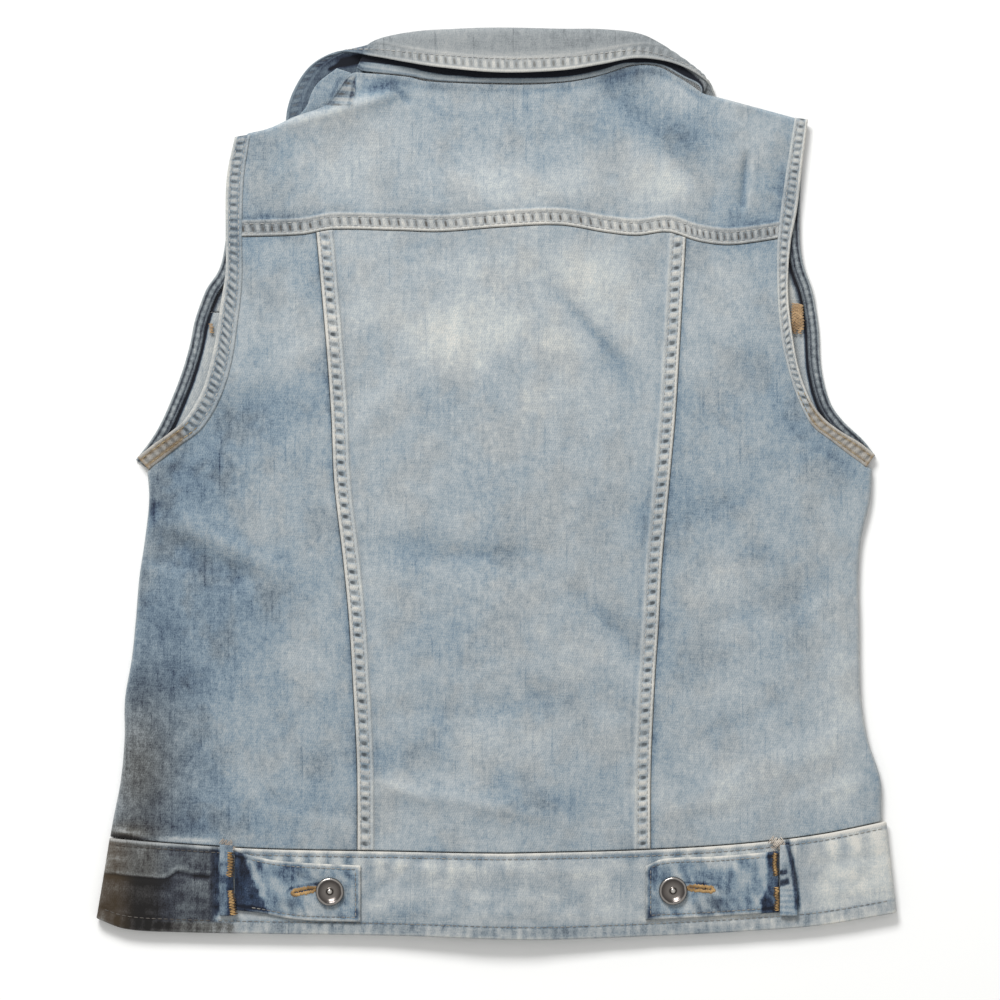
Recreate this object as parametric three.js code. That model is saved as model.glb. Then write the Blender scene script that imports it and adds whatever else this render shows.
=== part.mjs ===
// A women's light-wash denim vest laid flat on a table, back up and front down.
// Millimetres. X runs across the garment, Y from the hem to the collar, Z is up from the table.
import * as THREE from 'three';

// Cloth and seams
const CLOTH = 1.2; // one layer of denim
const PLACKET = 1.6; // a placket is two layers, pressed
const BAND = 2.4; // the waistband, folded over its seam allowances
const ARM_BAND = 2; // the binding of an armhole
const ARM_BAND_WIDTH = 10;
const TAB = 1.6;
const LOOP = 2.4;
const GAP = 0.3; // between two pieces that meet at a seam
const FELL = 10; // width of a flat-felled seam
const FELL_RISE = 0.9; // how far its extra layers stand above the panel

// Heights of the layers' middle surfaces above the table
const FLOOR_LAYER = CLOTH / 2;
const BACK_LAYER = 5.2;
const SIDE_RADIUS = (BACK_LAYER - FLOOR_LAYER) / 2; // the soft fold at each side
const MID_LAYER = (BACK_LAYER + FLOOR_LAYER) / 2;
const LEAF_LIFT = 1.6; // the upper front lies on the collar's leaves
const LEAF_LIFT_Y = 103; // where that lift begins, at the front yoke seam
const LEAF_LIFT_RUN = 14;
const NECK_CORNER_LIFT = 1.4; // the left front's neck corner rises towards the shoulder seam
const BUTTON_LIFT = 2.7; // the placket lies on its buttons
const PLACKET_RISE = 3.9; // how far the back rides over the closed placket
const PLACKET_SPREAD = 52;
const PLACKET_TOP = 166; // the front neckline, where the placket ends

// Front closure
const PLACKET_WIDTH = 34;
const BUTTON_RADIUS = 8.5; // 17 mm shank buttons
const BUTTON_HEIGHT = 2.4;
const FRONT_BUTTON_ROWS = [140, 72, 4, -64, -132, -200];
const BAND_BUTTON_ROW = -243;

/** Smooth curve through sorted keys, one function for each later column of a short table. */
function curves(names, rows) {
  const slope = (column, i) => {
    const a = rows[Math.max(i - 1, 0)];
    const b = rows[Math.min(i + 1, rows.length - 1)];
    return (b[column] - a[column]) / (b[0] - a[0]);
  };
  const table = {};
  names.split(' ').slice(1).forEach((name, index) => {
    const column = index + 1;
    table[name] = (key) => {
      let i = 0;
      while (i < rows.length - 2 && (key - rows[i + 1][0]) * Math.sign(rows[1][0] - rows[0][0]) > 0) i += 1;
      const [a, b] = [rows[i], rows[i + 1]];
      const span = b[0] - a[0];
      const t = THREE.MathUtils.clamp((key - a[0]) / span, 0, 1);
      const [ma, mb] = [slope(column, i) * span, slope(column, i + 1) * span];
      const cubic = t * t * (3 - 2 * t);
      return a[column] + (b[column] - a[column]) * cubic
        + ma * t * (1 - t) * (1 - t) - mb * t * t * (1 - t);
    };
  });
  return table;
}

const smooth = (t) => THREE.MathUtils.smoothstep(t, 0, 1);
const mix = THREE.MathUtils.lerp;

// The folded sides of the body below the underarm
const side = curves('y left right', [
  [12, -209.5, 225.5],
  [-9, -208, 224.5],
  [-33, -210.5, 219],
  [-57, -214, 217.3],
  [-81, -216, 217.8],
  [-105, -218.5, 218],
  [-129, -222.5, 219],
  [-153, -222.8, 223],
  [-177, -225, 230.6],
  [-201, -229.6, 231.2],
  [-214, -231.8, 234],
]);

// Centre lines of the two back seams that shape the waist
const princess = curves('y left right', [
  [160, -103.5, 109.5],
  [122, -100, 107.3],
  [75, -96, 104.6],
  [40, -93.6, 102.4],
  [0, -91.8, 98.8],
  [-45, -86.6, 94.6],
  [-82, -83, 92.5],
  [-124, -80.4, 89.8],
  [-170, -78.2, 87.8],
  [-222, -78, 87.6],
]);

// Top of the waistband, its lower edge, and the lower rim of the yoke seam
const hem = curves('x seam edge', [
  [-240, -210.5, -260],
  [-222, -212.8, -266.5],
  [-190, -215.4, -268.5],
  [-139, -218.5, -269.5],
  [-60, -220, -270.6],
  [0, -221, -272.6],
  [30, -220.6, -273],
  [90, -219, -271],
  [146, -215.5, -268.2],
  [194, -209.8, -264.5],
  [240, -200.5, -257],
]);
const yokeSeam = curves('x low', [
  [-162, 148],
  [-117, 149.5],
  [-98, 152.6],
  [-60, 152],
  [-33, 151.2],
  [2, 153.8],
  [38, 155.2],
  [66, 150.8],
  [84, 149],
  [103, 151],
  [121, 145.6],
  [138, 143.4],
  [155, 145],
  [182, 149.5],
]);

// Upper outline of the yoke: shoulder fold, shoulder seam, neckline, shoulder fold.
// free is 1 where the edge is a seam that shows and 0 where the cloth folds over the shoulder.
const yokeTop = [
  { x: -152, y: 209.5, free: 0 },
  { x: -135.5, y: 213.5, free: 0 },
  { x: -120, y: 220.5, free: 0 },
  { x: -105.5, y: 225, free: 0.6 },
  { x: -99.5, y: 229, free: 1 },
  { x: -93, y: 238, free: 1 },
  { x: -86.5, y: 246, free: 1 },
  { x: -76, y: 246, free: 1 },
  { x: -53.5, y: 244, free: 1 },
  { x: -38, y: 241, free: 1 },
  { x: 8.5, y: 239.3, free: 1 },
  { x: 38.5, y: 240.3, free: 1 },
  { x: 58, y: 243.5, free: 1 },
  { x: 78, y: 249.5, free: 1 },
  { x: 88, y: 251, free: 1 },
  { x: 98.5, y: 249.5, free: 1 },
  { x: 108, y: 244.5, free: 1 },
  { x: 117, y: 239, free: 1 },
  { x: 124, y: 234, free: 0.7 },
  { x: 134.5, y: 231.5, free: 0 },
  { x: 149.5, y: 227.5, free: 0 },
  { x: 164.5, y: 223.5, free: 0 },
  { x: 179, y: 219.5, free: 0 },
];

// Back armholes, from the shoulder to the tip under the arm: outer edge, then inner edge of the band
const armholeBack = {
  left: [
    { x: -156.5, y: 208, ix: -147, iy: 209.5 },
    { x: -161.5, y: 182.5, ix: -151, iy: 182.5 },
    { x: -162, y: 149.5, ix: -152, iy: 149.5 },
    { x: -162, y: 128, ix: -152, iy: 122 },
    { x: -165, y: 108, ix: -154.5, iy: 98 },
    { x: -169, y: 82, ix: -158.5, iy: 72 },
    { x: -176, y: 56.5, ix: -165.5, iy: 50.5 },
    { x: -186, y: 39.5, ix: -176, iy: 33.5 },
    { x: -196, y: 30.5, ix: -188, iy: 24 },
    { x: -205, y: 24, ix: -197, iy: 17 },
    { x: -215, y: 16, ix: -208, iy: 8.5 },
  ],
  right: [
    { x: 187, y: 218.5, ix: 179, iy: 219.5 },
    { x: 184, y: 195, ix: 175, iy: 195 },
    { x: 180.5, y: 165, ix: 171, iy: 168 },
    { x: 176.5, y: 144, ix: 168.5, iy: 144 },
    { x: 175, y: 120, ix: 168.5, iy: 116.5 },
    { x: 176.5, y: 98, ix: 170.5, iy: 90.5 },
    { x: 181, y: 71, ix: 174.5, iy: 71 },
    { x: 188, y: 51.5, ix: 180.5, iy: 52 },
    { x: 196, y: 40, ix: 189, iy: 35.5 },
    { x: 206, y: 32, ix: 200, iy: 26.5 },
    { x: 218.5, y: 24.5, ix: 211, iy: 18 },
    { x: 227, y: 17.5, ix: 222, iy: 10 },
  ],
};

// Front armholes, which show beside the back's: outer edges only
const armholeFront = {
  left: [
    { x: -155.5, y: 207.5 },
    { x: -159.5, y: 170 },
    { x: -164.5, y: 133 },
    { x: -174, y: 116 },
    { x: -180.5, y: 98.5 },
    { x: -184, y: 82 },
    { x: -190, y: 62.5 },
    { x: -200, y: 38.5 },
    { x: -207, y: 26.5 },
    { x: -216, y: 14.5 },
  ],
  right: [
    { x: 186, y: 217.5 },
    { x: 183, y: 182 },
    { x: 182, y: 152 },
    { x: 184, y: 133 },
    { x: 190, y: 115 },
    { x: 193.5, y: 94 },
    { x: 195, y: 70 },
    { x: 200, y: 50 },
    { x: 208, y: 38 },
    { x: 220, y: 26.5 },
    { x: 227.5, y: 17 },
  ],
};

// The largest folds of the back: a ridge (rise above 0) or a trough along a line
const folds = [
  { x0: -198, y0: -34, x1: -150, y1: -56, rise: -2.4, width: 9 },
  { x0: -190, y0: -22, x1: -128, y1: -52, rise: 1.8, width: 9 },
  { x0: -196, y0: 8, x1: -140, y1: 52, rise: -1.4, width: 13 },
  { x0: 26, y0: 128, x1: 84, y1: 56, rise: -1.5, width: 8 },
  { x0: -62, y0: -36, x1: 24, y1: -50, rise: -1.5, width: 10 },
  { x0: 44, y0: -60, x1: 88, y1: -110, rise: -1.6, width: 9 },
  { x0: -72, y0: -140, x1: 62, y1: -126, rise: -1.6, width: 12 },
  { x0: -74, y0: -182, x1: 26, y1: -196, rise: 1.6, width: 9 },
  { x0: 118, y0: -84, x1: 200, y1: -62, rise: -1.3, width: 12 },
  { x0: 120, y0: -190, x1: 214, y1: -150, rise: 1.5, width: 10 },
  { x0: 196, y0: 36, x1: 150, y1: 74, rise: -1.6, width: 11 },
  { x0: -216, y0: -120, x1: -176, y1: -184, rise: -1.7, width: 11 },
  { x0: -122, y0: 214, x1: -66, y1: 232, rise: 2.2, width: 8 },
  { x0: 66, y0: 238, x1: 126, y1: 170, rise: -1.2, width: 9 },
  { x0: 92, y0: 246, x1: 142, y1: 190, rise: 1.6, width: 10 },
  { x0: 151, y0: 196, x1: 147, y1: 168, rise: -1.2, width: 5 },
];

/** Height added by one fold: a bell across its line, fading towards both ends. */
function foldAt({ x0, y0, x1, y1, rise, width }, x, y) {
  const [dx, dy] = [x1 - x0, y1 - y0];
  const long = dx * dx + dy * dy;
  const along = ((x - x0) * dx + (y - y0) * dy) / long;
  const across = ((x - x0) * dy - (y - y0) * dx) / Math.sqrt(long);
  const ends = smooth((along + 0.25) / 0.4) * smooth((1.25 - along) / 0.4);
  return rise * ends * Math.exp(-((across / width) ** 2));
}

const placketRise = (x, y) => Math.exp(-((x / PLACKET_SPREAD) ** 2)) * smooth((PLACKET_TOP + 40 - y) / 40);

/** Middle surface of the back: it rests on the front, rides over the placket, and folds. */
function backHeight(x, y) {
  const shaped = folds.reduce((sum, fold) => sum + foldAt(fold, x, y), 0);
  const edge = smooth((side.right(y) - x) / 16) * smooth((x - side.left(y)) / 16);
  return BACK_LAYER + PLACKET_RISE * placketRise(x, y) + shaped * edge;
}

/** Lift of the front: over the collar's leaves at the top, over the buttons at the centre. */
function frontLift(x, y) {
  const overLeaf = LEAF_LIFT * smooth((y - LEAF_LIFT_Y) / LEAF_LIFT_RUN);
  const overButtons = BUTTON_LIFT * smooth((44 - Math.abs(x)) / 22);
  return Math.max(overLeaf, overButtons);
}

/** Closed wall on a grid of middle-surface points; up and down give its faces' offsets. */
function wall(grid, up, down = up) {
  const rows = grid.length;
  const columns = grid[0].length;
  const point = (i, j) => grid[THREE.MathUtils.clamp(i, 0, rows - 1)][THREE.MathUtils.clamp(j, 0, columns - 1)];
  const offset = (value, i, j) => (typeof value === 'function' ? value(i, j) : value);
  const vertices = [];
  for (const [sign, amount] of [[1, up], [-1, down]]) {
    for (let i = 0; i < rows; i += 1) {
      for (let j = 0; j < columns; j += 1) {
        const across = new THREE.Vector3().subVectors(point(i, j + 1), point(i, j - 1));
        const along = new THREE.Vector3().subVectors(point(i + 1, j), point(i - 1, j));
        const normal = across.cross(along).normalize();
        vertices.push(point(i, j).clone().addScaledVector(normal, sign * offset(amount, i, j)));
      }
    }
  }
  const index = (layer, i, j) => layer * rows * columns + i * columns + j;
  const triangles = [];
  const quad = (a, b, c, d) => triangles.push(a, b, c, a, c, d);
  for (let i = 0; i < rows - 1; i += 1) {
    for (let j = 0; j < columns - 1; j += 1) {
      quad(index(0, i, j), index(0, i, j + 1), index(0, i + 1, j + 1), index(0, i + 1, j));
      quad(index(1, i, j), index(1, i + 1, j), index(1, i + 1, j + 1), index(1, i, j + 1));
    }
  }
  const rim = (i0, j0, i1, j1) => quad(index(1, i0, j0), index(1, i1, j1), index(0, i1, j1), index(0, i0, j0));
  for (let j = 0; j < columns - 1; j += 1) {
    rim(0, j, 0, j + 1);
    rim(rows - 1, j + 1, rows - 1, j);
  }
  for (let i = 0; i < rows - 1; i += 1) {
    rim(i + 1, 0, i, 0);
    rim(i, columns - 1, i + 1, columns - 1);
  }
  const geometry = new THREE.BufferGeometry();
  geometry.setAttribute('position', new THREE.Float32BufferAttribute(vertices.flatMap((v) => v.toArray()), 3));
  geometry.setIndex(triangles);
  geometry.computeVertexNormals();
  return geometry;
}

/** Numbers from 0 to 1 in equal steps. */
const steps = (count) => Array.from({ length: count + 1 }, (unused, i) => i / count);

/** Smooth open line through the x, y of a table's rows, cut into equal steps. */
function lineThrough(rows, count, keyX = 'x', keyY = 'y') {
  const points = rows.map((row) => new THREE.Vector3(row[keyX], row[keyY], 0));
  const curve = new THREE.CatmullRomCurve3(points, false, 'centripetal');
  return steps(count).map((t) => curve.getPoint(t));
}

/** Point at a share of the length of a line of points, straight between them. */
function alongPolyline(points, share) {
  const lengths = points.map((p, i) => (i ? p.distanceTo(points[i - 1]) : 0));
  let left = share * lengths.reduce((sum, length) => sum + length, 0);
  for (let i = 1; i < points.length; i += 1) {
    if (left <= lengths[i] || i === points.length - 1) {
      return points[i - 1].clone().lerp(points[i], Math.min(left / lengths[i], 1));
    }
    left -= lengths[i];
  }
  return points.at(-1).clone();
}

/** X of a line of points at a height, straight between the points. */
function xAtHeight(points, y) {
  const sorted = [...points].sort((a, b) => a.y - b.y);
  const i = THREE.MathUtils.clamp(sorted.findIndex((p) => p.y > y), 1, sorted.length - 1);
  const [a, b] = [sorted[i - 1], sorted[i]];
  return mix(a.x, b.x, THREE.MathUtils.clamp((y - a.y) / (b.y - a.y), 0, 1));
}

/** The armhole lines that the bindings and the panels share. */
const ARM_STEPS = 20;
const backArm = {};
const frontArm = {};
for (const hand of ['left', 'right']) {
  const sign = hand === 'left' ? -1 : 1;
  backArm[hand] = {
    edge: lineThrough(armholeBack[hand], ARM_STEPS),
    inner: lineThrough(armholeBack[hand], ARM_STEPS, 'ix', 'iy'),
  };
  const edge = lineThrough(armholeFront[hand], ARM_STEPS);
  const inner = edge.map((p, i) => {
    const before = edge[Math.max(i - 1, 0)];
    const after = edge[Math.min(i + 1, ARM_STEPS)];
    const inward = new THREE.Vector3(before.y - after.y, after.x - before.x, 0).normalize();
    if (inward.x * sign > 0) inward.negate();
    return p.clone().addScaledVector(inward, ARM_BAND_WIDTH);
  });
  frontArm[hand] = { edge, inner };
}

const parts = new THREE.Group();
parts.name = 'denim_vest';
parts.position.set(-0.3, -0.2, 0); // the origin is under the middle of the garment's outline

function addPart(name, geometry, color, roughness = 0.9, metalness = 0) {
  const material = new THREE.MeshStandardMaterial({ color, roughness, metalness });
  const mesh = new THREE.Mesh(geometry, material);
  mesh.name = name;
  parts.add(mesh);
  return mesh;
}

const DENIM_LIGHT = '#a9b4bb';
const DENIM_MID = '#8f9fac';
const DENIM_SIDE = '#85909a';
const COLLAR_GREY = '#9a9fa1';
const BAND_BLUE = '#9aa5ae';
const TAB_BLUE = '#7f8d99';
const STEEL = '#55504f';

// Back centre panel, its two lapped seams raised along the outer edges
const seamColumns = { left: [], centre: [], right: [] }; // X of each column where it meets the yoke
{
  const rowY = (x, v) => mix(hem.seam(x) + GAP, yokeSeam.low(x) - GAP, v);
  const edgeX = (hand, offset, v) => {
    let x = princess[hand](rowY(0, v)) + offset;
    for (let pass = 0; pass < 3; pass += 1) x = princess[hand](rowY(x, v)) + offset;
    return x;
  };
  const grid = steps(24).map((v) => {
    const left = edgeX('left', -FELL / 2, v);
    const width = edgeX('right', FELL / 2, v) - left;
    const inner = steps(11).map((t) => mix(FELL + 1.5, width - FELL - 1.5, t));
    const across = [0, FELL - 0.6, ...inner, width - FELL + 0.6, width];
    return across.map((d) => {
      const x = left + d;
      const y = rowY(x, v);
      return new THREE.Vector3(x, y, backHeight(x, y));
    });
  });
  seamColumns.centre = grid.at(-1).map((p) => p.x);
  const last = grid[0].length - 1;
  const up = (i, j) => CLOTH / 2 + (j < 2 || j > last - 2 ? FELL_RISE : 0);
  addPart('back_centre', wall(grid, up, CLOTH / 2), DENIM_LIGHT);
}

// Back side panels, curled down at the side fold and cut away at the armhole
const CURL = [0.35, 0.7, 0.92, 1]; // shares of the quarter turn at an edge that folds down
const curlAt = (y, tip) => smooth((tip + 6 - y) / 10);
const seamRoom = (y, tip) => GAP * 2 + (CLOTH + 2 * GAP) * curlAt(y, tip); // from a panel to the binding
for (const hand of ['left', 'right']) {
  const sign = hand === 'left' ? -1 : 1;
  const { inner } = backArm[hand];
  const tip = inner.at(-1).y;
  const bottom = hem.seam(side[hand](-212)) + GAP;
  const armRows = inner.filter((p) => p.y < 144).reverse();
  const top = 145.5;
  const rows = [
    ...steps(13).map((t) => mix(bottom, tip - 4, t)).map((y) => ({ y, x: side[hand](y) - (sign * CLOTH) / 2 })),
    ...armRows.map((p) => ({ y: p.y, x: p.x - sign * seamRoom(p.y, tip) })),
    { y: top, x: xAtHeight(inner, top) - sign * seamRoom(top, tip) },
  ];
  const flatCount = 9;
  const grid = rows.map(({ y: rowY, x: outside }) => {
    const toHem = 1 - smooth((rowY - bottom) / 60);
    const toYoke = smooth((rowY - top + 60) / 60);
    const shifted = (x) => rowY + (hem.seam(x) + GAP - bottom) * toHem + (yokeSeam.low(x) - GAP - top) * toYoke;
    const seamX = (y) => princess[hand](y) + sign * (FELL / 2 + GAP);
    const inside = seamX(shifted(seamX(rowY)));
    const curl = curlAt(rowY, tip);
    const reach = Math.abs(outside - inside);
    const flat = steps(flatCount).map((t) => t * (reach - SIDE_RADIUS));
    const turn = CURL.map((t) => reach - SIDE_RADIUS * (1 - Math.sin((t * Math.PI) / 2)));
    return [...flat, ...turn].map((d, j) => {
      const x = inside + sign * d;
      const y = shifted(x);
      const angle = j > flatCount ? CURL[j - flatCount - 1] * (Math.PI / 2) : 0;
      const height = backHeight(x, y);
      return new THREE.Vector3(x, y, height - curl * (1 - Math.cos(angle)) * (height - MID_LAYER - GAP / 2));
    });
  });
  seamColumns[hand] = grid.at(-1).slice(1, flatCount + 1).map((p) => p.x);
  addPart(`back_side_${hand}`, wall(sign > 0 ? grid : grid.map((row) => [...row].reverse()), CLOTH / 2), DENIM_SIDE);
}

// Yoke: one piece over both shoulders, lapped onto the panels below
{
  const lowX = [
    xAtHeight(backArm.left.inner, 148) + GAP,
    ...[...seamColumns.left].reverse().slice(1),
    ...seamColumns.centre,
    ...seamColumns.right.slice(0, -1),
    xAtHeight(backArm.right.inner, 149) - GAP,
  ];
  const outline = yokeTop.map((p) => new THREE.Vector3(p.x, p.y, p.free));
  const rowCount = 9;
  const grid = [];
  for (let i = 0; i <= rowCount + 2 + CURL.length; i += 1) {
    grid.push(lowX.map((x0, j) => {
      const low = yokeSeam.low(x0);
      const top = alongPolyline(outline, j / (lowX.length - 1));
      const free = top.z;
      const room = top.y - low - SIDE_RADIUS;
      let rise = 0;
      let angle = 0;
      if (i === 1) rise = FELL - 0.6;
      else if (i > 1 && i <= rowCount + 2) rise = mix(FELL + 0.6, room, (i - 2) / rowCount);
      else if (i > 1) {
        angle = CURL[i - rowCount - 3] * (Math.PI / 2);
        rise = room + (SIDE_RADIUS - ((1 - free) * CLOTH) / 2) * Math.sin(angle);
      }
      const y = low + rise;
      const share = rise / (room + SIDE_RADIUS);
      const ends = { left: xAtHeight(backArm.left.inner, y) + GAP, right: xAtHeight(backArm.right.inner, y) - GAP };
      const x = THREE.MathUtils.clamp(mix(x0, top.x, share), ends.left, ends.right);
      const edge = j === 0 ? ends.left : ends.right;
      const atEdge = j === 0 || j === lowX.length - 1;
      const height = backHeight(x, y);
      const drop = (1 - Math.cos(angle)) * (1 - free) * (height - MID_LAYER - GAP / 2);
      return new THREE.Vector3(atEdge ? edge : x, y, height - drop);
    }));
  }
  addPart('back_yoke', wall(grid, (i) => CLOTH / 2 + (i < 2 ? FELL_RISE : 0), CLOTH / 2), DENIM_LIGHT);
}

// Bindings of the armholes, back and front, meeting under the arm
for (const hand of ['left', 'right']) {
  const back = backArm[hand].edge.map((outside, i) => [0, 0.5, 1].map((t) => {
    const p = outside.clone().lerp(backArm[hand].inner[i], t);
    const share = i / ARM_STEPS;
    const drop = (1 - t * 0.7) * (1.4 * smooth((share - 0.9) / 0.1) + 0.5 * smooth((0.045 - share) / 0.045));
    return new THREE.Vector3(p.x, p.y, backHeight(p.x, p.y) + (ARM_BAND - CLOTH) / 2 - drop);
  }));
  const front = frontArm[hand].edge.map((outside, i) => [0, 0.5, 1].map((t) => {
    const p = outside.clone().lerp(frontArm[hand].inner[i], t);
    return new THREE.Vector3(p.x, p.y, ARM_BAND / 2 + frontLift(p.x, p.y));
  }));
  const facing = (rows) => (hand === 'right' ? rows : rows.map((row) => [...row].reverse()));
  addPart(`armhole_band_back_${hand}`, wall(facing(back), ARM_BAND / 2), DENIM_LIGHT);
  addPart(`armhole_band_front_${hand}`, wall(facing(front), ARM_BAND / 2), DENIM_MID);
}

// Front neckline and collar. Each station gives the neck seam, the roll and the outer edge;
// leaves lie under the front, the middle stands above the back neckline and falls onto it.
const collarStations = [
  { nx: -4, ny: 167, nz: 4.6, rx: -4.5, ry: 174, rz: 3, ex: -57, ey: 119, ez: 0.6 },
  { nx: -27.5, ny: 173, nz: 3.4, rx: -24, ry: 182, rz: 1.9, ex: -86, ey: 137, ez: 0.6 },
  { nx: -56, ny: 191, nz: 2.6, rx: -49, ry: 199, rz: 1.6, ex: -110, ey: 167, ez: 0.6 },
  { nx: -73, ny: 215, nz: 2.6, rx: -65, ry: 221, rz: 1.6, ex: -124, ey: 200, ez: 0.6 },
  { nx: -80.5, ny: 231, nz: 2.7, rx: -72, ry: 237, rz: 1.6, ex: -126, ey: 219, ez: 0.6 },
  { nx: -83, ny: 240.5, nz: 3.1, rx: -76.5, ry: 249, rz: 2.4, ex: -121.5, ey: 236, ez: 0.9 },
  { nx: -83.5, ny: 248.6, nz: 4.7, rx: -79, ry: 256, rz: 4.2, ex: -110.5, ey: 251.5, ez: 2.4 },
  { nx: -80, ny: 247.5, nz: 5, rx: -77, ry: 262, rz: 6.2, ex: -94, ey: 258.8, ez: 5.4 },
  { nx: -71.5, ny: 246.6, nz: 5.2, rx: -69, ry: 266.5, rz: 7.4, ex: -73, ey: 257, ez: 8.8 },
  { nx: -53.5, ny: 244.8, nz: 5.2, rx: -52, ry: 270, rz: 8, ex: -53.5, ey: 253, ez: 10.6 },
  { nx: -33.5, ny: 241.6, nz: 5.2, rx: -33.5, ry: 271.6, rz: 8.4, ex: -33.5, ey: 250, ez: 11.4 },
  { nx: 2.5, ny: 240.3, nz: 5.2, rx: 2.5, ry: 272.8, rz: 8.6, ex: 2.5, ey: 248, ez: 11.8 },
  { nx: 38.5, ny: 241, nz: 5.2, rx: 38.5, ry: 272, rz: 8.4, ex: 38.5, ey: 250.5, ez: 11.6 },
  { nx: 62, ny: 245, nz: 5.2, rx: 63.5, ry: 271.8, rz: 8.1, ex: 62.5, ey: 254.5, ez: 11 },
  { nx: 81.5, ny: 251, nz: 5.2, rx: 86.5, ry: 269, rz: 7.8, ex: 83.5, ey: 257.5, ez: 10.4 },
  { nx: 98.5, ny: 250.3, nz: 5.1, rx: 103, ry: 260.5, rz: 7.2, ex: 102, ey: 255, ez: 9.4 },
  { nx: 112, ny: 243.6, nz: 4.9, rx: 117.5, ry: 250.5, rz: 6.6, ex: 116, ey: 248, ez: 8.2 },
  { nx: 121.5, ny: 238.6, nz: 4.6, rx: 125, ry: 244, rz: 5.6, ex: 126.5, ey: 241, ez: 6 },
  { nx: 122.5, ny: 232.5, nz: 3.2, rx: 126, ry: 238.5, rz: 3.4, ex: 130.5, ey: 236, ez: 2.6 },
  { nx: 118, ny: 225.5, nz: 2.6, rx: 119, ry: 233, rz: 1.6, ex: 131.5, ey: 228, ez: 0.6 },
  { nx: 88, ny: 195.5, nz: 2.6, rx: 81, ry: 203, rz: 1.6, ex: 127, ey: 200, ez: 0.6 },
  { nx: 58, ny: 178.8, nz: 2.6, rx: 51, ry: 187, rz: 1.6, ex: 110, ey: 167, ez: 0.6 },
  { nx: 29.5, ny: 171.3, nz: 2.6, rx: 26, ry: 180, rz: 1.6, ex: 86, ey: 137, ez: 0.6 },
  { nx: 3.5, ny: 167.5, nz: 2.6, rx: 4, ry: 174.5, rz: 1.6, ex: 57, ey: 119, ez: 0.6 },
];

/** Seven middle-surface points across the collar at one station. */
function collarSection(s) {
  const neck = new THREE.Vector3(s.nx, s.ny, s.nz);
  const roll = new THREE.Vector3(s.rx, s.ry, s.rz);
  const edge = new THREE.Vector3(s.ex, s.ey, s.ez);
  const turn = Math.abs(s.ez - s.nz) / 2;
  const onStand = neck.clone().lerp(roll, 1 - Math.min(0.45, turn / neck.distanceTo(roll)));
  const onFall = roll.clone().lerp(edge, Math.min(0.45, turn / roll.distanceTo(edge)));
  onStand.z = mix(s.nz, s.rz, 0.3);
  onFall.z = mix(s.rz, s.ez, 0.75);
  const standMiddle = neck.clone().lerp(onStand, 0.5);
  const fallMiddle = onFall.clone().lerp(edge, 0.5);
  return [neck, standMiddle, onStand, roll, onFall, fallMiddle, edge];
}
{
  const sections = collarStations.map(collarSection);
  const tracks = sections[0].map((unused, j) => new THREE.CatmullRomCurve3(sections.map((s) => s[j]), false, 'centripetal'));
  const count = (sections.length - 1) * 2;
  const onTable = (p) => p.setZ(Math.max(p.z, CLOTH / 2));
  const grid = steps(count).map((t) => tracks.map((track) => onTable(track.getPoint(t))));
  addPart('collar', wall(grid, CLOTH / 2), COLLAR_GREY);
}

// Waistband: one strip from centre front, round both folded sides and across the back
{
  const radius = (BACK_LAYER + 0.6 - BAND / 2) / 2;
  const centre = BAND / 2 + radius;
  const hug = (t) => ({
    left: mix(-239.6, -231.6, t) + BAND / 2,
    right: mix(240.2, 234, t) - BAND / 2,
  });
  const backTop = (x) => BACK_LAYER + 0.6 + PLACKET_RISE * placketRise(x, 0);
  const frontZ = (x, over) => BAND / 2 + mix(0, over ? BUTTON_LIFT + BAND + GAP : BUTTON_LIFT, smooth((44 - Math.abs(x)) / 22));
  const turn = steps(6).slice(1, -1);
  const grid = [0, 0.5, 1].map((t) => {
    const { left, right } = hug(t);
    const line = [];
    const put = (x, z, over = x) => {
      const seam = hem.seam(over) - GAP;
      const edge = hem.edge(over);
      line.push(new THREE.Vector3(x, mix(edge, seam, t), z));
    };
    for (const f of steps(12)) {
      const x = mix(16, left + radius, f);
      put(x, frontZ(x, true));
    }
    for (const f of turn) put(left + radius - radius * Math.sin(f * Math.PI), centre - radius * Math.cos(f * Math.PI));
    for (const f of steps(26)) {
      const x = mix(left + radius, right - radius, f);
      put(x, backTop(x));
    }
    for (const f of turn) put(right - radius + radius * Math.sin(f * Math.PI), centre + radius * Math.cos(f * Math.PI));
    for (const f of steps(12)) {
      const x = mix(right - radius, -16, f);
      put(x, frontZ(x, false));
    }
    return line;
  });
  addPart('waistband', wall(grid, BAND / 2), BAND_BLUE);
}

const bandTop = (x) => BACK_LAYER + 0.6 + PLACKET_RISE * placketRise(x, 0) + BAND / 2;

// Side tabs on the waistband with their loops and buttons
const tabs = [
  {
    hand: 'left', outer: -156.5, inner: -81, loopFrom: -166, loopTo: -157.2,
    top: curves('x y', [[-156.5, -220], [-131, -225.5], [-80.5, -228.5]]),
    low: curves('x y', [[-156.5, -255], [-141, -257], [-118, -261], [-80.5, -262.2]]),
    button: [-99.5, -244],
  },
  {
    hand: 'right', outer: 169.2, inner: 89.5, loopFrom: 170, loopTo: 180.5,
    top: curves('x y', [[89, -229], [100, -224.5], [131, -223], [173.5, -219.5]]),
    low: curves('x y', [[89, -261], [122.5, -259.5], [177, -256]]),
    button: [106, -243.5],
  },
];

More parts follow.
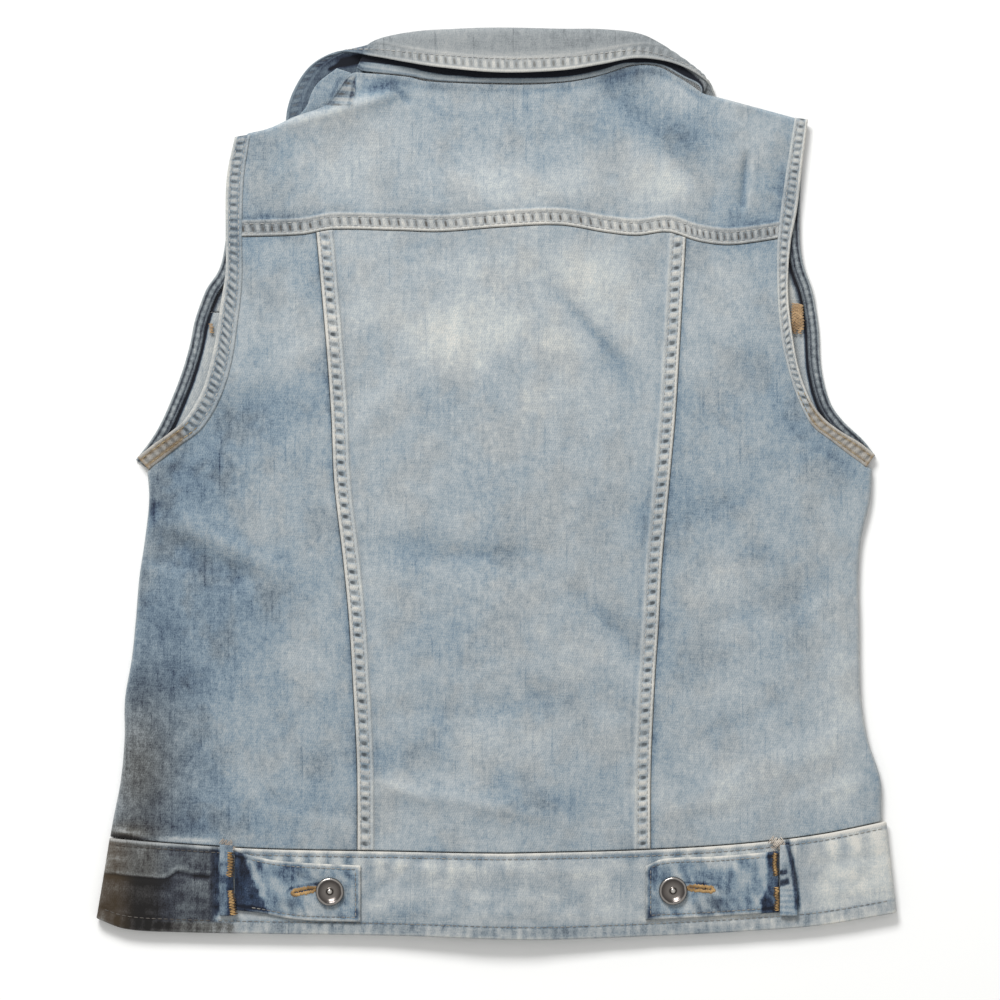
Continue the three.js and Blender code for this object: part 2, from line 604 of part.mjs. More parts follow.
/** A shank button's cap: a rolled rim round a dish with a raised centre, or a plain dome. */
function buttonCap(plain = false) {
  const r = BUTTON_RADIUS;
  const h = BUTTON_HEIGHT;
  const dished = [
    [0, 0], [r - 0.8, 0], [r, 1], [r - 0.4, h - 0.2], [r - 1.3, h], [r - 2.6, h - 0.9],
    [2.2, h - 1.1], [1.6, h - 0.3], [0, h - 0.2],
  ];
  const domed = [[0, 0], [r - 0.8, 0], [r, 1], [r - 0.7, h - 0.2], [r - 2, h], [0, h]];
  const profile = (plain ? domed : dished).map(([x, y]) => new THREE.Vector2(x, y));
  return new THREE.LatheGeometry(profile, plain ? 14 : 20).rotateX(Math.PI / 2);
}

for (const tab of tabs) {
  const from = Math.min(tab.outer, tab.inner);
  const to = Math.max(tab.outer, tab.inner);
  const lift = GAP + TAB / 2;
  const grid = steps(3).map((v) => steps(8).map((u) => {
    const x = mix(from, to, u);
    return new THREE.Vector3(x, mix(tab.low.y(x), tab.top.y(x), v), bandTop(x) + lift);
  }));
  addPart(`tab_${tab.hand}`, wall(grid, TAB / 2), TAB_BLUE);

  const loopGrid = steps(4).map((v) => [tab.loopFrom, (tab.loopFrom + tab.loopTo) / 2, tab.loopTo].map((x, j) => (
    new THREE.Vector3(x, mix(-258.5, -216, v), bandTop(x) + GAP + LOOP / 2 + (j === 1 ? 0.5 : 0)))));
  addPart(`tab_loop_${tab.hand}`, wall(loopGrid, LOOP / 2), TAB_BLUE);

  const cap = addPart(`tab_button_${tab.hand}`, buttonCap(), STEEL, 0.35, 1);
  const [bx, by] = tab.button;
  cap.position.set(bx, by, bandTop(bx) + GAP + TAB + 0.4);
}

// Fronts, lying face down on the table. The wearer's right front laps outside the left.
const necklines = {
  left: [[-86, 243], [-83.5, 235], [-75, 215], [-58, 190], [-30, 171.5], [-17.3, 168]],
  right: [[116, 222], [110, 214], [98, 200], [78, 184.5], [44, 171.5], [17.3, 168]],
};
const shoulders = {
  left: [[-97, 243.5], [-105, 231], [-115, 222], [-125, 217], [-135, 212]],
  right: [[124, 223], [133, 225.5], [141, 226], [150, 224.5], [164, 220.5]],
};
for (const hand of ['left', 'right']) {
  const sign = hand === 'left' ? -1 : 1;
  const placketLift = hand === 'right' ? BUTTON_LIFT : BUTTON_LIFT + PLACKET + GAP;
  const placketEdge = sign * (PLACKET_WIDTH / 2 + GAP);
  const toPlacket = (x) => placketLift * smooth((44 - Math.abs(x)) / 22);
  const { inner } = frontArm[hand];
  const tip = inner.at(-1).y;
  const bottom = hem.seam(side[hand](-212)) + GAP;
  const clear = (p) => p.x - sign * seamRoom(p.y, tip);

  // Lower front, curled up at the side fold
  const rows = [
    ...steps(8).map((t) => mix(bottom, tip - 4, t)).map((y) => ({ y, x: side[hand](y) - (sign * CLOTH) / 2 })),
    ...inner.filter((p) => p.y < LEAF_LIFT_Y - 3).reverse().map((p) => ({ y: p.y, x: clear(p) })),
    { y: LEAF_LIFT_Y - GAP, x: xAtHeight(inner, LEAF_LIFT_Y) - sign * seamRoom(LEAF_LIFT_Y, tip) },
  ];
  const flat = [0, 0.06, 0.12, 0.18, 0.4, 0.6, 0.8, 1];
  const grid = rows.map(({ y: rowY, x: outside }) => {
    const curl = curlAt(rowY, tip);
    const reach = Math.abs(outside - placketEdge);
    const turn = CURL.map((t) => reach - SIDE_RADIUS * (1 - Math.sin((t * Math.PI) / 2)));
    return [...flat.map((t) => t * (reach - SIDE_RADIUS)), ...turn].map((d, j) => {
      const x = placketEdge + sign * d;
      const y = rowY + (hem.seam(x) + GAP - bottom) * (1 - smooth((rowY - bottom) / 60));
      const angle = j >= flat.length ? CURL[j - flat.length] * (Math.PI / 2) : 0;
      const base = FLOOR_LAYER + toPlacket(x);
      return new THREE.Vector3(x, y, base + curl * (1 - Math.cos(angle)) * (MID_LAYER - GAP / 2 - base));
    });
  });
  const facing = (lines) => (sign > 0 ? lines : lines.map((row) => [...row].reverse()));
  addPart(`front_${hand}`, wall(facing(grid), CLOTH / 2), DENIM_MID);

  // Front yoke, from its seam to the shoulder, cut out round the neck
  const asRows = (list) => list.map(([x, y]) => ({ x, y }));
  const inside = [...lineThrough(asRows(necklines[hand]), 14), new THREE.Vector3(placketEdge, LEAF_LIFT_Y + GAP, 0)];
  const arm = inner.filter((p) => p.y > LEAF_LIFT_Y + 4).map((p) => new THREE.Vector3(clear(p), p.y, 0));
  const outside = [
    ...lineThrough(asRows(shoulders[hand]), 8),
    ...arm,
    new THREE.Vector3(xAtHeight(inner, LEAF_LIFT_Y) - sign * seamRoom(LEAF_LIFT_Y, tip), LEAF_LIFT_Y + GAP, 0),
  ];
  const yokeGrid = steps(18).map((v) => {
    const a = alongPolyline(inside, v);
    const b = alongPolyline(outside, v);
    return steps(9).map((u) => {
      const p = a.clone().lerp(b, u);
      const overLeaf = LEAF_LIFT * smooth((p.y - LEAF_LIFT_Y) / LEAF_LIFT_RUN);
      const corner = hand === 'left' ? NECK_CORNER_LIFT * smooth((p.y - 216) / 18) : 0;
      return new THREE.Vector3(p.x, p.y, FLOOR_LAYER + Math.max(overLeaf, toPlacket(p.x)) + corner);
    });
  });
  addPart(`front_yoke_${hand}`, wall(facing(yokeGrid.reverse()), CLOTH / 2), DENIM_MID);

  // Placket
  const placketGrid = steps(12).map((v) => [-1, -0.33, 0.33, 1].map((u) => {
    const x = (u * PLACKET_WIDTH) / 2;
    return new THREE.Vector3(x, mix(hem.seam(x) + GAP, 166, v), PLACKET / 2 + placketLift);
  }));
  addPart(`front_placket_${hand}`, wall(placketGrid, PLACKET / 2), DENIM_MID);
}

// Front buttons: their caps lie on the table and carry the placket
[...FRONT_BUTTON_ROWS, BAND_BUTTON_ROW].forEach((y, i) => {
  const cap = addPart(`front_button_${i + 1}`, buttonCap(true), STEEL, 0.35, 1);
  cap.rotation.x = Math.PI;
  cap.position.set(0, y, BUTTON_HEIGHT);
});

export default parts;
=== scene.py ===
# %% [markdown]
# # A light-wash denim vest, laid flat
#
# The real object is a women's stretch-denim vest lying face down on a table, photographed from
# straight above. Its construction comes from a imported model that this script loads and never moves.
# Here every panel is made again as a fine, thin shell on the same form, because cloth needs creases,
# rolled seam edges and puckers of about a millimetre. All lengths below are millimetres, and they
# are turned into Blender's metres in one place.

# %% Load the frame and keep its box
import math
from functools import partial

import bpy
import numpy as np
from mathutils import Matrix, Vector


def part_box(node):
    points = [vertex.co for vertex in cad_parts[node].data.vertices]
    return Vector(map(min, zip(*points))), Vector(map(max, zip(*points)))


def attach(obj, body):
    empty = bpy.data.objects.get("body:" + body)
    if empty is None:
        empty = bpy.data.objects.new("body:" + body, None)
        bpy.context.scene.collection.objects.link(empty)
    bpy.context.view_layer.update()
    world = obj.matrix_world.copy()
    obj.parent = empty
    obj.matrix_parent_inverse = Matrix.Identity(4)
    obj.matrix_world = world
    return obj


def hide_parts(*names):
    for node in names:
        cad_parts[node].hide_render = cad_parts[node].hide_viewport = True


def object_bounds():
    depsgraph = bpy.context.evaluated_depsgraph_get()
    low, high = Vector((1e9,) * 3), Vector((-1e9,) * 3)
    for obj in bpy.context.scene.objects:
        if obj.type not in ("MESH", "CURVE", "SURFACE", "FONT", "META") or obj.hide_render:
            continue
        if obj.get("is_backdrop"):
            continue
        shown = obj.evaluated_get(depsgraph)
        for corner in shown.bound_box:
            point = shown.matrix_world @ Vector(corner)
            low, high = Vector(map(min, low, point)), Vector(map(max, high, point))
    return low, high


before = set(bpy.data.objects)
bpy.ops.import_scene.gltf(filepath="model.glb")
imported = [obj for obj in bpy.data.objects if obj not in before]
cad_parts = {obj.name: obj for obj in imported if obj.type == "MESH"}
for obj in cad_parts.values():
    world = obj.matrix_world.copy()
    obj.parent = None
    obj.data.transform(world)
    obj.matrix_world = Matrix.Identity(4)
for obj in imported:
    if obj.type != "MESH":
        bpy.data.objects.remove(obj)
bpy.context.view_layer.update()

MM = 0.001

# %% [markdown]
# ## Camera
#
# The photograph looks straight down with no visible perspective, so the camera is a very long lens
# 4 m above the table: from 1.5 m the raised collar would already lean outward by 2 mm. One photo
# pixel is 0.6 mm and the picture is 1000 pixels wide, so the lens takes in 600 mm.

# %% Camera over the table
PIXEL = 0.6
PICTURE = 1000
CAMERA_HEIGHT = 4000
SENSOR = 36
PHOTO_CENTRE = (2.1, -9.8)

camera_data = bpy.data.cameras.new("camera")
camera_data.sensor_width = SENSOR
camera_data.lens = SENSOR * CAMERA_HEIGHT / (PIXEL * PICTURE)
camera = bpy.data.objects.new("camera", camera_data)
camera.location = (PHOTO_CENTRE[0] * MM, PHOTO_CENTRE[1] * MM, CAMERA_HEIGHT * MM)
bpy.context.scene.collection.objects.link(camera)
bpy.context.scene.camera = camera
print("lens", round(camera_data.lens, 1), "mm")

# %% [markdown]
# ## Shape helpers
#
# A garment's outline is easiest to state as a few measured points with a smooth curve through them.
# `curves` turns a short table into smooth functions, `line_through` draws a path, and `ripple` is a
# seeded random field for the unevenness that no one would draw by hand.

# %% Smooth functions from short tables


def smooth(t):
    """Eased step from 0 to 1."""
    t = np.clip(t, 0, 1)
    return t * t * (3 - 2 * t)


def mix(a, b, t):
    """From a to b at a share t."""
    return a + (b - a) * t


def bell(value, middle, width):
    """Bump of height 1 at the middle that fades out over a width to each side."""
    return np.exp(-(((value - middle) / width) ** 2))


def oval(x, y, px, py, wide, high, turn=0):
    """Bump of height 1 at a place, with its half-sizes and a turn in degrees."""
    c, s = math.cos(math.radians(turn)), math.sin(math.radians(turn))
    u = ((x - px) * c + (y - py) * s) / wide
    v = ((y - py) * c - (x - px) * s) / high
    return np.exp(-(u * u + v * v))


def nearest(places, target):
    """Index of the place that lies closest to a target."""
    return int(np.argmin(np.abs(places - target)))


def facing_up(sign, *layers):
    """Grids of one panel, with the columns turned round on the left side so that it faces up too."""
    return [layer[:, ::-1] for layer in layers] if sign < 0 else layers


def curves(names, rows):
    """Smooth function of the first column for each later column of a table."""
    data = np.array(rows, float)
    order = np.argsort(data[:, 0])
    data = data[order]
    keys = data[:, 0]
    made = {}
    for column, name in enumerate(names.split()[1:], start=1):
        values = data[:, column]
        index = np.arange(len(keys))
        before, after = np.maximum(index - 1, 0), np.minimum(index + 1, len(keys) - 1)
        slopes = (values[after] - values[before]) / (keys[after] - keys[before])

        def curve(key, values=values, slopes=slopes):
            key = np.asarray(key, float)
            i = np.clip(np.searchsorted(keys, key) - 1, 0, len(keys) - 2)
            span = keys[i + 1] - keys[i]
            t = np.clip((key - keys[i]) / span, 0, 1)
            bend = slopes[i] * span * t * (1 - t) ** 2 - slopes[i + 1] * span * t * t * (1 - t)
            return values[i] + (values[i + 1] - values[i]) * smooth(t) + bend

        made[name] = curve
    return made


def line_through(points, count):
    """Smooth path through points, as count rows."""
    points = np.array(points, float)
    padded = np.vstack([2 * points[0] - points[1], points, 2 * points[-1] - points[-2]])
    t = np.linspace(0, len(points) - 1, count)
    i = np.minimum(t.astype(int), len(points) - 2)
    f = (t - i)[:, None]
    a, b, c, d = (padded[i + k] for k in range(4))
    return 0.5 * (2 * b + (c - a) * f + (2 * a - 5 * b + 4 * c - d) * f**2 + (3 * b - a - 3 * c + d) * f**3)


def lengths_along(path):
    """Distance from the start of a path to each of its points."""
    return np.concatenate([[0], np.cumsum(np.linalg.norm(np.diff(path, axis=0), axis=1))])


def at_share(path, share):
    """Points of a path at shares of its length."""
    along = lengths_along(path)
    reach = np.asarray(share) * along[-1]
    return np.stack([np.interp(reach, along, path[:, k]) for k in range(path.shape[1])], -1)


def x_at_height(path, y):
    """Where a path that climbs crosses a height."""
    order = np.argsort(path[:, 1])
    return np.interp(y, path[order, 1], path[order, 0])


def ripple(x, y, cell, seed):
    """Smooth random field from -1 to 1 with bumps about one cell apart."""
    lattice = np.random.default_rng(seed).uniform(-1, 1, (64, 64))
    u, v = np.asarray(x) / cell + 31.7, np.asarray(y) / cell + 17.3
    i, j = np.floor(u).astype(int), np.floor(v).astype(int)
    a, b = smooth(u - i), smooth(v - j)
    corner = lambda di, dj: lattice[(i + di) % 64, (j + dj) % 64]
    return mix(mix(corner(0, 0), corner(1, 0), a), mix(corner(0, 1), corner(1, 1), a), b)


def spread(length, step, edge=0.9):
    """Places along a length: fine at both ends, where an edge is rounded, and even between."""
    ends = np.array([0, 0.15, 0.45]) * edge / 0.9
    inner = np.linspace(edge, length - edge, max(2, int(round((length - 2 * edge) / step)) + 1))
    return np.concatenate([ends, inner, length - ends[::-1]])


print("helpers ready")

# %% [markdown]
# ## The garment's measurements
#
# These are the tables that the construction uses: where the sides fold, where the two long back
# seams run, the waistband's lines, the yoke seam, the shoulders with the neckline, and both
# armholes. `SHIFT` puts the origin under the middle of the garment's outline.

# %% Sizes and heights
# thicknesses of the layers
CLOTH, PLACKET, TAB, ARM_BAND, BAND, LOOP = 1.2, 1.6, 1.6, 2.0, 2.4, 2.4
ARM_BAND_WIDTH = 10
GAP = 0.3
# width and rise of a felled seam
FELL, FELL_RISE = 10, 0.9
# heights of the front's and the back's middle surfaces
FLOOR_LAYER = CLOTH / 2
BACK_LAYER = 5.2
SIDE_RADIUS = (BACK_LAYER - FLOOR_LAYER) / 2
MID_LAYER = (BACK_LAYER + FLOOR_LAYER) / 2
LEAF_LIFT, LEAF_LIFT_Y, LEAF_LIFT_RUN = 1.6, 103, 14
NECK_CORNER_LIFT = 1.4
BUTTON_LIFT, BUTTON_LIFT_TO, BUTTON_LIFT_RUN = 2.7, 44, 22
PLACKET_RISE, PLACKET_SPREAD, PLACKET_TOP, PLACKET_RUN = 3.9, 52, 166, 40
PLACKET_WIDTH = 34
BUTTON_HEIGHT = 2.4
FRONT_BUTTON_ROWS = [140, 72, 4, -64, -132, -200, -243]
SHIFT = np.array([-0.3, -0.2, 0])

side = curves("y left right", [
    (12, -209.5, 225.5), (-9, -208, 224.5), (-33, -210.5, 219), (-57, -214, 217.3),
    (-81, -216, 217.8), (-105, -218.5, 218), (-129, -222.5, 219), (-153, -222.8, 223),
    (-177, -225, 230.6), (-201, -229.6, 231.2), (-214, -231.8, 234),
])
princess = curves("y left right", [
    (160, -103.5, 109.5), (122, -100, 107.3), (75, -96, 104.6), (40, -93.6, 102.4), (0, -91.8, 98.8),
    (-45, -86.6, 94.6), (-82, -83, 92.5), (-124, -80.4, 89.8), (-170, -78.2, 87.8), (-222, -78, 87.6),
])
hem = curves("x seam edge", [
    (-240, -210.5, -260), (-222, -212.8, -266.5), (-190, -215.4, -268.5), (-139, -218.5, -269.5),
    (-60, -220, -270.6), (0, -221, -272.6), (30, -220.6, -273), (90, -219, -271),
    (146, -215.5, -268.2), (194, -209.8, -264.5), (240, -200.5, -257),
])
yoke_seam = curves("x low", [
    (-162, 148), (-117, 149.5), (-98, 152.6), (-60, 152), (-33, 151.2), (2, 153.8), (38, 155.2),
    (66, 150.8), (84, 149), (103, 151), (121, 145.6), (138, 143.4), (155, 145), (182, 149.5),
])["low"]

# %% Shoulders, neckline and armholes
# x, y, and whether the edge is a seam that shows (1) or cloth folded over the shoulder (0)
YOKE_TOP = [
    (-152, 209.5, 0), (-135.5, 213.5, 0), (-120, 220.5, 0), (-105.5, 225, 0.6), (-99.5, 229, 1),
    (-93, 238, 1), (-86.5, 246, 1), (-76, 246, 1), (-53.5, 244, 1), (-38, 241, 1), (8.5, 239.3, 1),
    (38.5, 240.3, 1), (58, 243.5, 1), (78, 249.5, 1), (88, 251, 1), (98.5, 249.5, 1),
    (108, 244.5, 1), (117, 239, 1), (124, 234, 0.7), (134.5, 231.5, 0), (149.5, 227.5, 0),
    (164.5, 223.5, 0), (179, 219.5, 0),
]
# outer edge x, y, then inner edge x, y
ARMHOLE_BACK = {
    "left": [
        (-156.5, 208, -147, 209.5), (-161.5, 182.5, -151, 182.5), (-162, 149.5, -152, 149.5),
        (-162, 128, -152, 122), (-165, 108, -154.5, 98), (-169, 82, -158.5, 72),
        (-176, 56.5, -165.5, 50.5), (-186, 39.5, -176, 33.5), (-196, 30.5, -188, 24),
        (-205, 24, -197, 17), (-215, 16, -208, 8.5),
    ],
    "right": [
        (187, 218.5, 179, 219.5), (184, 195, 175, 195), (180.5, 165, 171, 168),
        (176.5, 144, 168.5, 144), (175, 120, 168.5, 116.5), (176.5, 98, 170.5, 90.5),
        (181, 71, 174.5, 71), (188, 51.5, 180.5, 52), (196, 40, 189, 35.5), (206, 32, 200, 26.5),
        (218.5, 24.5, 211, 18), (227, 17.5, 222, 10),
    ],
}
ARMHOLE_FRONT = {
    "left": [
        (-155.5, 207.5), (-159.5, 170), (-164.5, 133), (-174, 116), (-180.5, 98.5), (-184, 82),
        (-190, 62.5), (-200, 38.5), (-207, 26.5), (-216, 14.5),
    ],
    "right": [
        (186, 217.5), (183, 182), (182, 152), (184, 133), (190, 115), (193.5, 94), (195, 70),
        (200, 50), (208, 38), (220, 26.5), (227.5, 17),
    ],
}
SIGN = {"left": -1, "right": 1}
ARM_STEPS = 180
arm_back, arm_front = {}, {}
for hand, sign in SIGN.items():
    both = line_through(ARMHOLE_BACK[hand], ARM_STEPS)
    arm_back[hand] = {"edge": both[:, :2], "inner": both[:, 2:]}
    edge = line_through(ARMHOLE_FRONT[hand], ARM_STEPS)
    run = np.gradient(edge, axis=0)
    inward = np.stack([-run[:, 1], run[:, 0]], 1) / np.linalg.norm(run, axis=1)[:, None]
    inward *= np.where(inward[:, :1] * sign > 0, -1, 1)
    arm_front[hand] = {"edge": edge, "inner": edge + inward * ARM_BAND_WIDTH}
print("armhole edge lengths", {h: round(lengths_along(a["edge"])[-1]) for h, a in arm_back.items()})

# %% [markdown]
# ## Folds
#
# The large folds are those of the construction. On top of them come softer creases, drawn as
# lines with their own length, width and depth: the drag lines under the left arm, the slack
# across the waist, the ridge below the collar. `back_height` is the middle surface of the back.

# %% Folds of the back
FLAT_RIM = 16  # the sides lie flatter than the middle over this width
# x0, y0, x1, y1, rise, width
FOLDS = [
    (-198, -34, -150, -56, -2.4, 9), (-190, -22, -128, -52, 1.8, 9), (-196, 8, -140, 52, -1.4, 13),
    (26, 128, 84, 56, -1.5, 8), (-62, -36, 24, -50, -1.5, 10), (44, -60, 88, -110, -1.6, 9),
    (-72, -140, 62, -126, -1.6, 12), (-74, -182, 26, -196, 1.6, 9), (118, -84, 200, -62, -1.3, 12),
    (120, -190, 214, -150, 1.5, 10), (196, 36, 150, 74, -1.6, 11), (-216, -120, -176, -184, -1.7, 11),
    (-122, 214, -66, 232, 2.2, 8), (66, 238, 126, 170, -1.2, 9), (92, 246, 142, 190, 1.6, 10),
    (151, 196, 147, 168, -1.2, 5),
]
CREASES = [
    (-124, 216, -64, 233, 1.2, 3.2), (-112, 226, -64, 239, -0.9, 3.6), (-60, 237, -52, 229, -1.4, 2.0),
    (150, 196, 147.5, 166, -1.3, 1.6), (154, 196, 152, 170, 0.6, 3), (166, 178, 176, 172, -0.8, 2.2),
    (170, 168, 178, 166, -0.8, 2), (66, 236, 92, 214, -0.8, 5), (96, 208, 128, 168, -0.7, 5),
    (-168, -26, -124, -48, -0.6, 4), (-206, -44, -176, -52, -0.7, 4), (-204, -12, -190, -22, -0.6, 3),
    (30, 120, 70, 78, -0.6, 4),
    (-56, -182, 30, -200, 0.5, 4), (-70, -178, -40, -190, 0.6, 3), (48, -64, 84, -102, -0.5, 4),
    (128, -150, 168, -132, -0.5, 5), (150, -60, 186, -84, -0.5, 6), (-176, -150, -206, -196, -0.6, 5),
    (176, 34, 214, 6, -0.6, 5), (-150, 8, -112, 30, 0.5, 7), (-60, 60, -88, 30, 0.5, 6),
    (-40, -44, 30, -40, -0.45, 4), (104, -24, 150, -8, -0.5, 6), (-104, 84, -150, 60, 0.5, 8),
    (-136, -196, -90, -204, 0.5, 4), (100, -196, 150, -188, 0.5, 4), (176, -190, 222, -178, 0.5, 4),
]


def fold_height(folds, x, y):
    """Height of a list of folds: a bell across each line, fading past both of its ends."""
    total = np.zeros(np.broadcast(x, y).shape)
    for x0, y0, x1, y1, rise, width in folds:
        dx, dy = x1 - x0, y1 - y0
        long = dx * dx + dy * dy
        along = ((x - x0) * dx + (y - y0) * dy) / long
        across = ((x - x0) * dy - (y - y0) * dx) / math.sqrt(long)
        fading = smooth((along + 0.25) / 0.4) * smooth((1.25 - along) / 0.4)
        total += rise * fading * bell(across, 0, width)
    return total


def placket_rise(x, y):
    """Share of the plackets' thickness that the back feels above them."""
    return bell(x, 0, PLACKET_SPREAD) * smooth((PLACKET_TOP + PLACKET_RUN - y) / PLACKET_RUN)


def back_height(x, y):
    """Middle surface of the back, with its large folds, small creases and slack."""
    slack = 0.28 * ripple(x, y, 34, 1) + 0.12 * ripple(x, y, 13, 2)
    shaped = fold_height(FOLDS, x, y) + fold_height(CREASES, x, y) + slack
    edge = smooth((side["right"](y) - x) / FLAT_RIM) * smooth((x - side["left"](y)) / FLAT_RIM)
    return BACK_LAYER + PLACKET_RISE * placket_rise(x, y) + shaped * edge


def by_centre(x):
    """1 over the plackets, where the buttons lift the cloth, easing to 0 beside them."""
    return smooth((BUTTON_LIFT_TO - np.abs(x)) / BUTTON_LIFT_RUN)


def front_lift(x, y):
    """The front's height over the collar leaves at the top and over its buttons at the centre."""
    over_leaf = LEAF_LIFT * smooth((y - LEAF_LIFT_Y) / LEAF_LIFT_RUN)
    return np.maximum(over_leaf, BUTTON_LIFT * by_centre(x))


print("folds", len(FOLDS), "creases", len(CREASES))

# %% [markdown]
# ## A panel as a thin shell
#
# A panel could be a plane with a Solidify modifier, but its edges would be square and its seam bands
# flat. `wall` builds both faces from one grid of middle points, rounds the edges, and stores
# what the shader needs: how washed out the cloth is, with painted shade added in, where a point lies
# on its nearest seam, how rubbed its edge is, and how much it has gone grey or taken the colour of
# ochre thread.

# %% Shells from grids of points
EDGE_RADIUS = 0.7
EDGE_LEFT = 0.06  # share of the thickness that is left at the very edge, squared
NO_SEAM = np.array([99, 0, 0])


def mesh_object(name, points, faces, shift=SHIFT):
    """Smooth-shaded object in the scene from points in mm."""
    mesh = bpy.data.meshes.new(name)
    mesh.from_pydata((points + shift) * MM, [], faces)
    mesh.shade_smooth()
    obj = bpy.data.objects.new(name, mesh)
    bpy.context.scene.collection.objects.link(obj)
    return obj


def wall(name, grid, top, bottom, wash, seam=None, rub=0.0, grey=0.0, ochre=0.0, wash_below=None):
    """Closed shell round a grid of middle points; returns the object and its upper surface."""
    rows, columns = grid.shape[:2]
    across, along = np.gradient(grid, axis=1), np.gradient(grid, axis=0)
    normal = np.cross(across, along)
    normal /= np.linalg.norm(normal, axis=2)[..., None]
    sides = []
    for axis in (0, 1):
        gaps = np.linalg.norm(np.diff(grid, axis=axis), axis=2)
        near = np.cumsum(gaps, axis=axis)
        zero = np.zeros_like(np.take(near, [0], axis=axis))
        start = np.concatenate([zero, near], axis=axis)
        sides += [start, np.take(start, [-1], axis=axis) - start]
    inset = np.min(sides, axis=0)
    rounded = np.sqrt(np.clip(1 - (1 - np.clip(inset / EDGE_RADIUS, 0, 1)) ** 2, EDGE_LEFT, 1))[..., None]
    upper = grid + normal * rounded * np.broadcast_to(np.asarray(top, float), (rows, columns))[..., None]
    lower = grid - normal * rounded * np.broadcast_to(np.asarray(bottom, float), (rows, columns))[..., None]
    i, j = np.meshgrid(np.arange(rows - 1), np.arange(columns - 1), indexing="ij")
    a = (i * columns + j).ravel()
    b, c, d = a + 1, a + columns + 1, a + columns
    under = rows * columns
    faces = [np.stack([a, b, c, d], 1), np.stack([a, d, c, b], 1) + under]
    ring = np.concatenate([
        np.arange(columns - 1), np.arange(columns - 1, under - 1, columns),
        np.arange(under - 1, under - columns, -1), np.arange(under - columns, 0, -columns),
    ])
    after = np.roll(ring, -1)
    faces.append(np.stack([ring + under, after + under, after, ring], 1))
    obj = mesh_object(name, np.concatenate([upper, lower]).reshape(-1, 3), np.concatenate(faces).tolist())
    mesh = obj.data
    seam = np.zeros((rows, columns, 3)) + NO_SEAM if seam is None else seam
    full = np.zeros((rows, columns))
    tint = np.stack([full + grey, full + ochre, full + rub], -1)
    layers = {"wash": ("FLOAT", "value", wash), "tint": ("FLOAT_VECTOR", "vector", tint)}
    layers["seam"] = ("FLOAT_VECTOR", "vector", seam)
    for label, (kind, key, values) in layers.items():
        shape = (rows, columns, 3) if kind == "FLOAT_VECTOR" else (rows, columns)
        flat = np.broadcast_to(np.asarray(values, float), shape).reshape(rows * columns, -1)
        other = flat if wash_below is None or label != "wash" else wash_below.reshape(rows * columns, -1)
        mesh.attributes.new(label, kind, "POINT").data.foreach_set(key, np.concatenate([flat, other]).ravel())
    return obj, upper


def seam_layer(across, phase, strength):
    """Seam coordinates: mm across the band from its outer rim, pucker phase, and how much it shows."""
    shape = np.broadcast(across, phase, strength).shape
    return np.stack([np.broadcast_to(v, shape).astype(float) for v in (across, phase, strength)], -1)


def pucker_phase(across, along, pitch=6.5, seed=3, slant=0.14):
    """Angle that grows by one turn for each pucker, with an uneven pitch and a slight slant."""
    wander = 1.5 * ripple(along, 0 * along, 26, seed) + 0.5 * ripple(along, 0 * along, 8, seed + 1)
    return 2 * math.pi * along / pitch + wander + slant * across


def pucker(across, phase, depth=1.0):
    """Relief of a double-stitched seam: two rolled rims, stitch grooves, and hollows between them."""
    rims = bell(across, 1.1, 0.8) + bell(across, FELL - 1.1, 0.8)
    grooves = bell(across, 2.4, 0.5) + bell(across, FELL - 2.4, 0.5)
    between = smooth((across - 1.8) / 1.4) * smooth((FELL - 1.8 - across) / 1.4)
    hollows = smooth((np.cos(phase) + 0.2) / 1.2)
    return 0.24 * rims - 0.26 * grooves + depth * between * (0.16 - 0.72 * hollows)


print("shell maker ready")
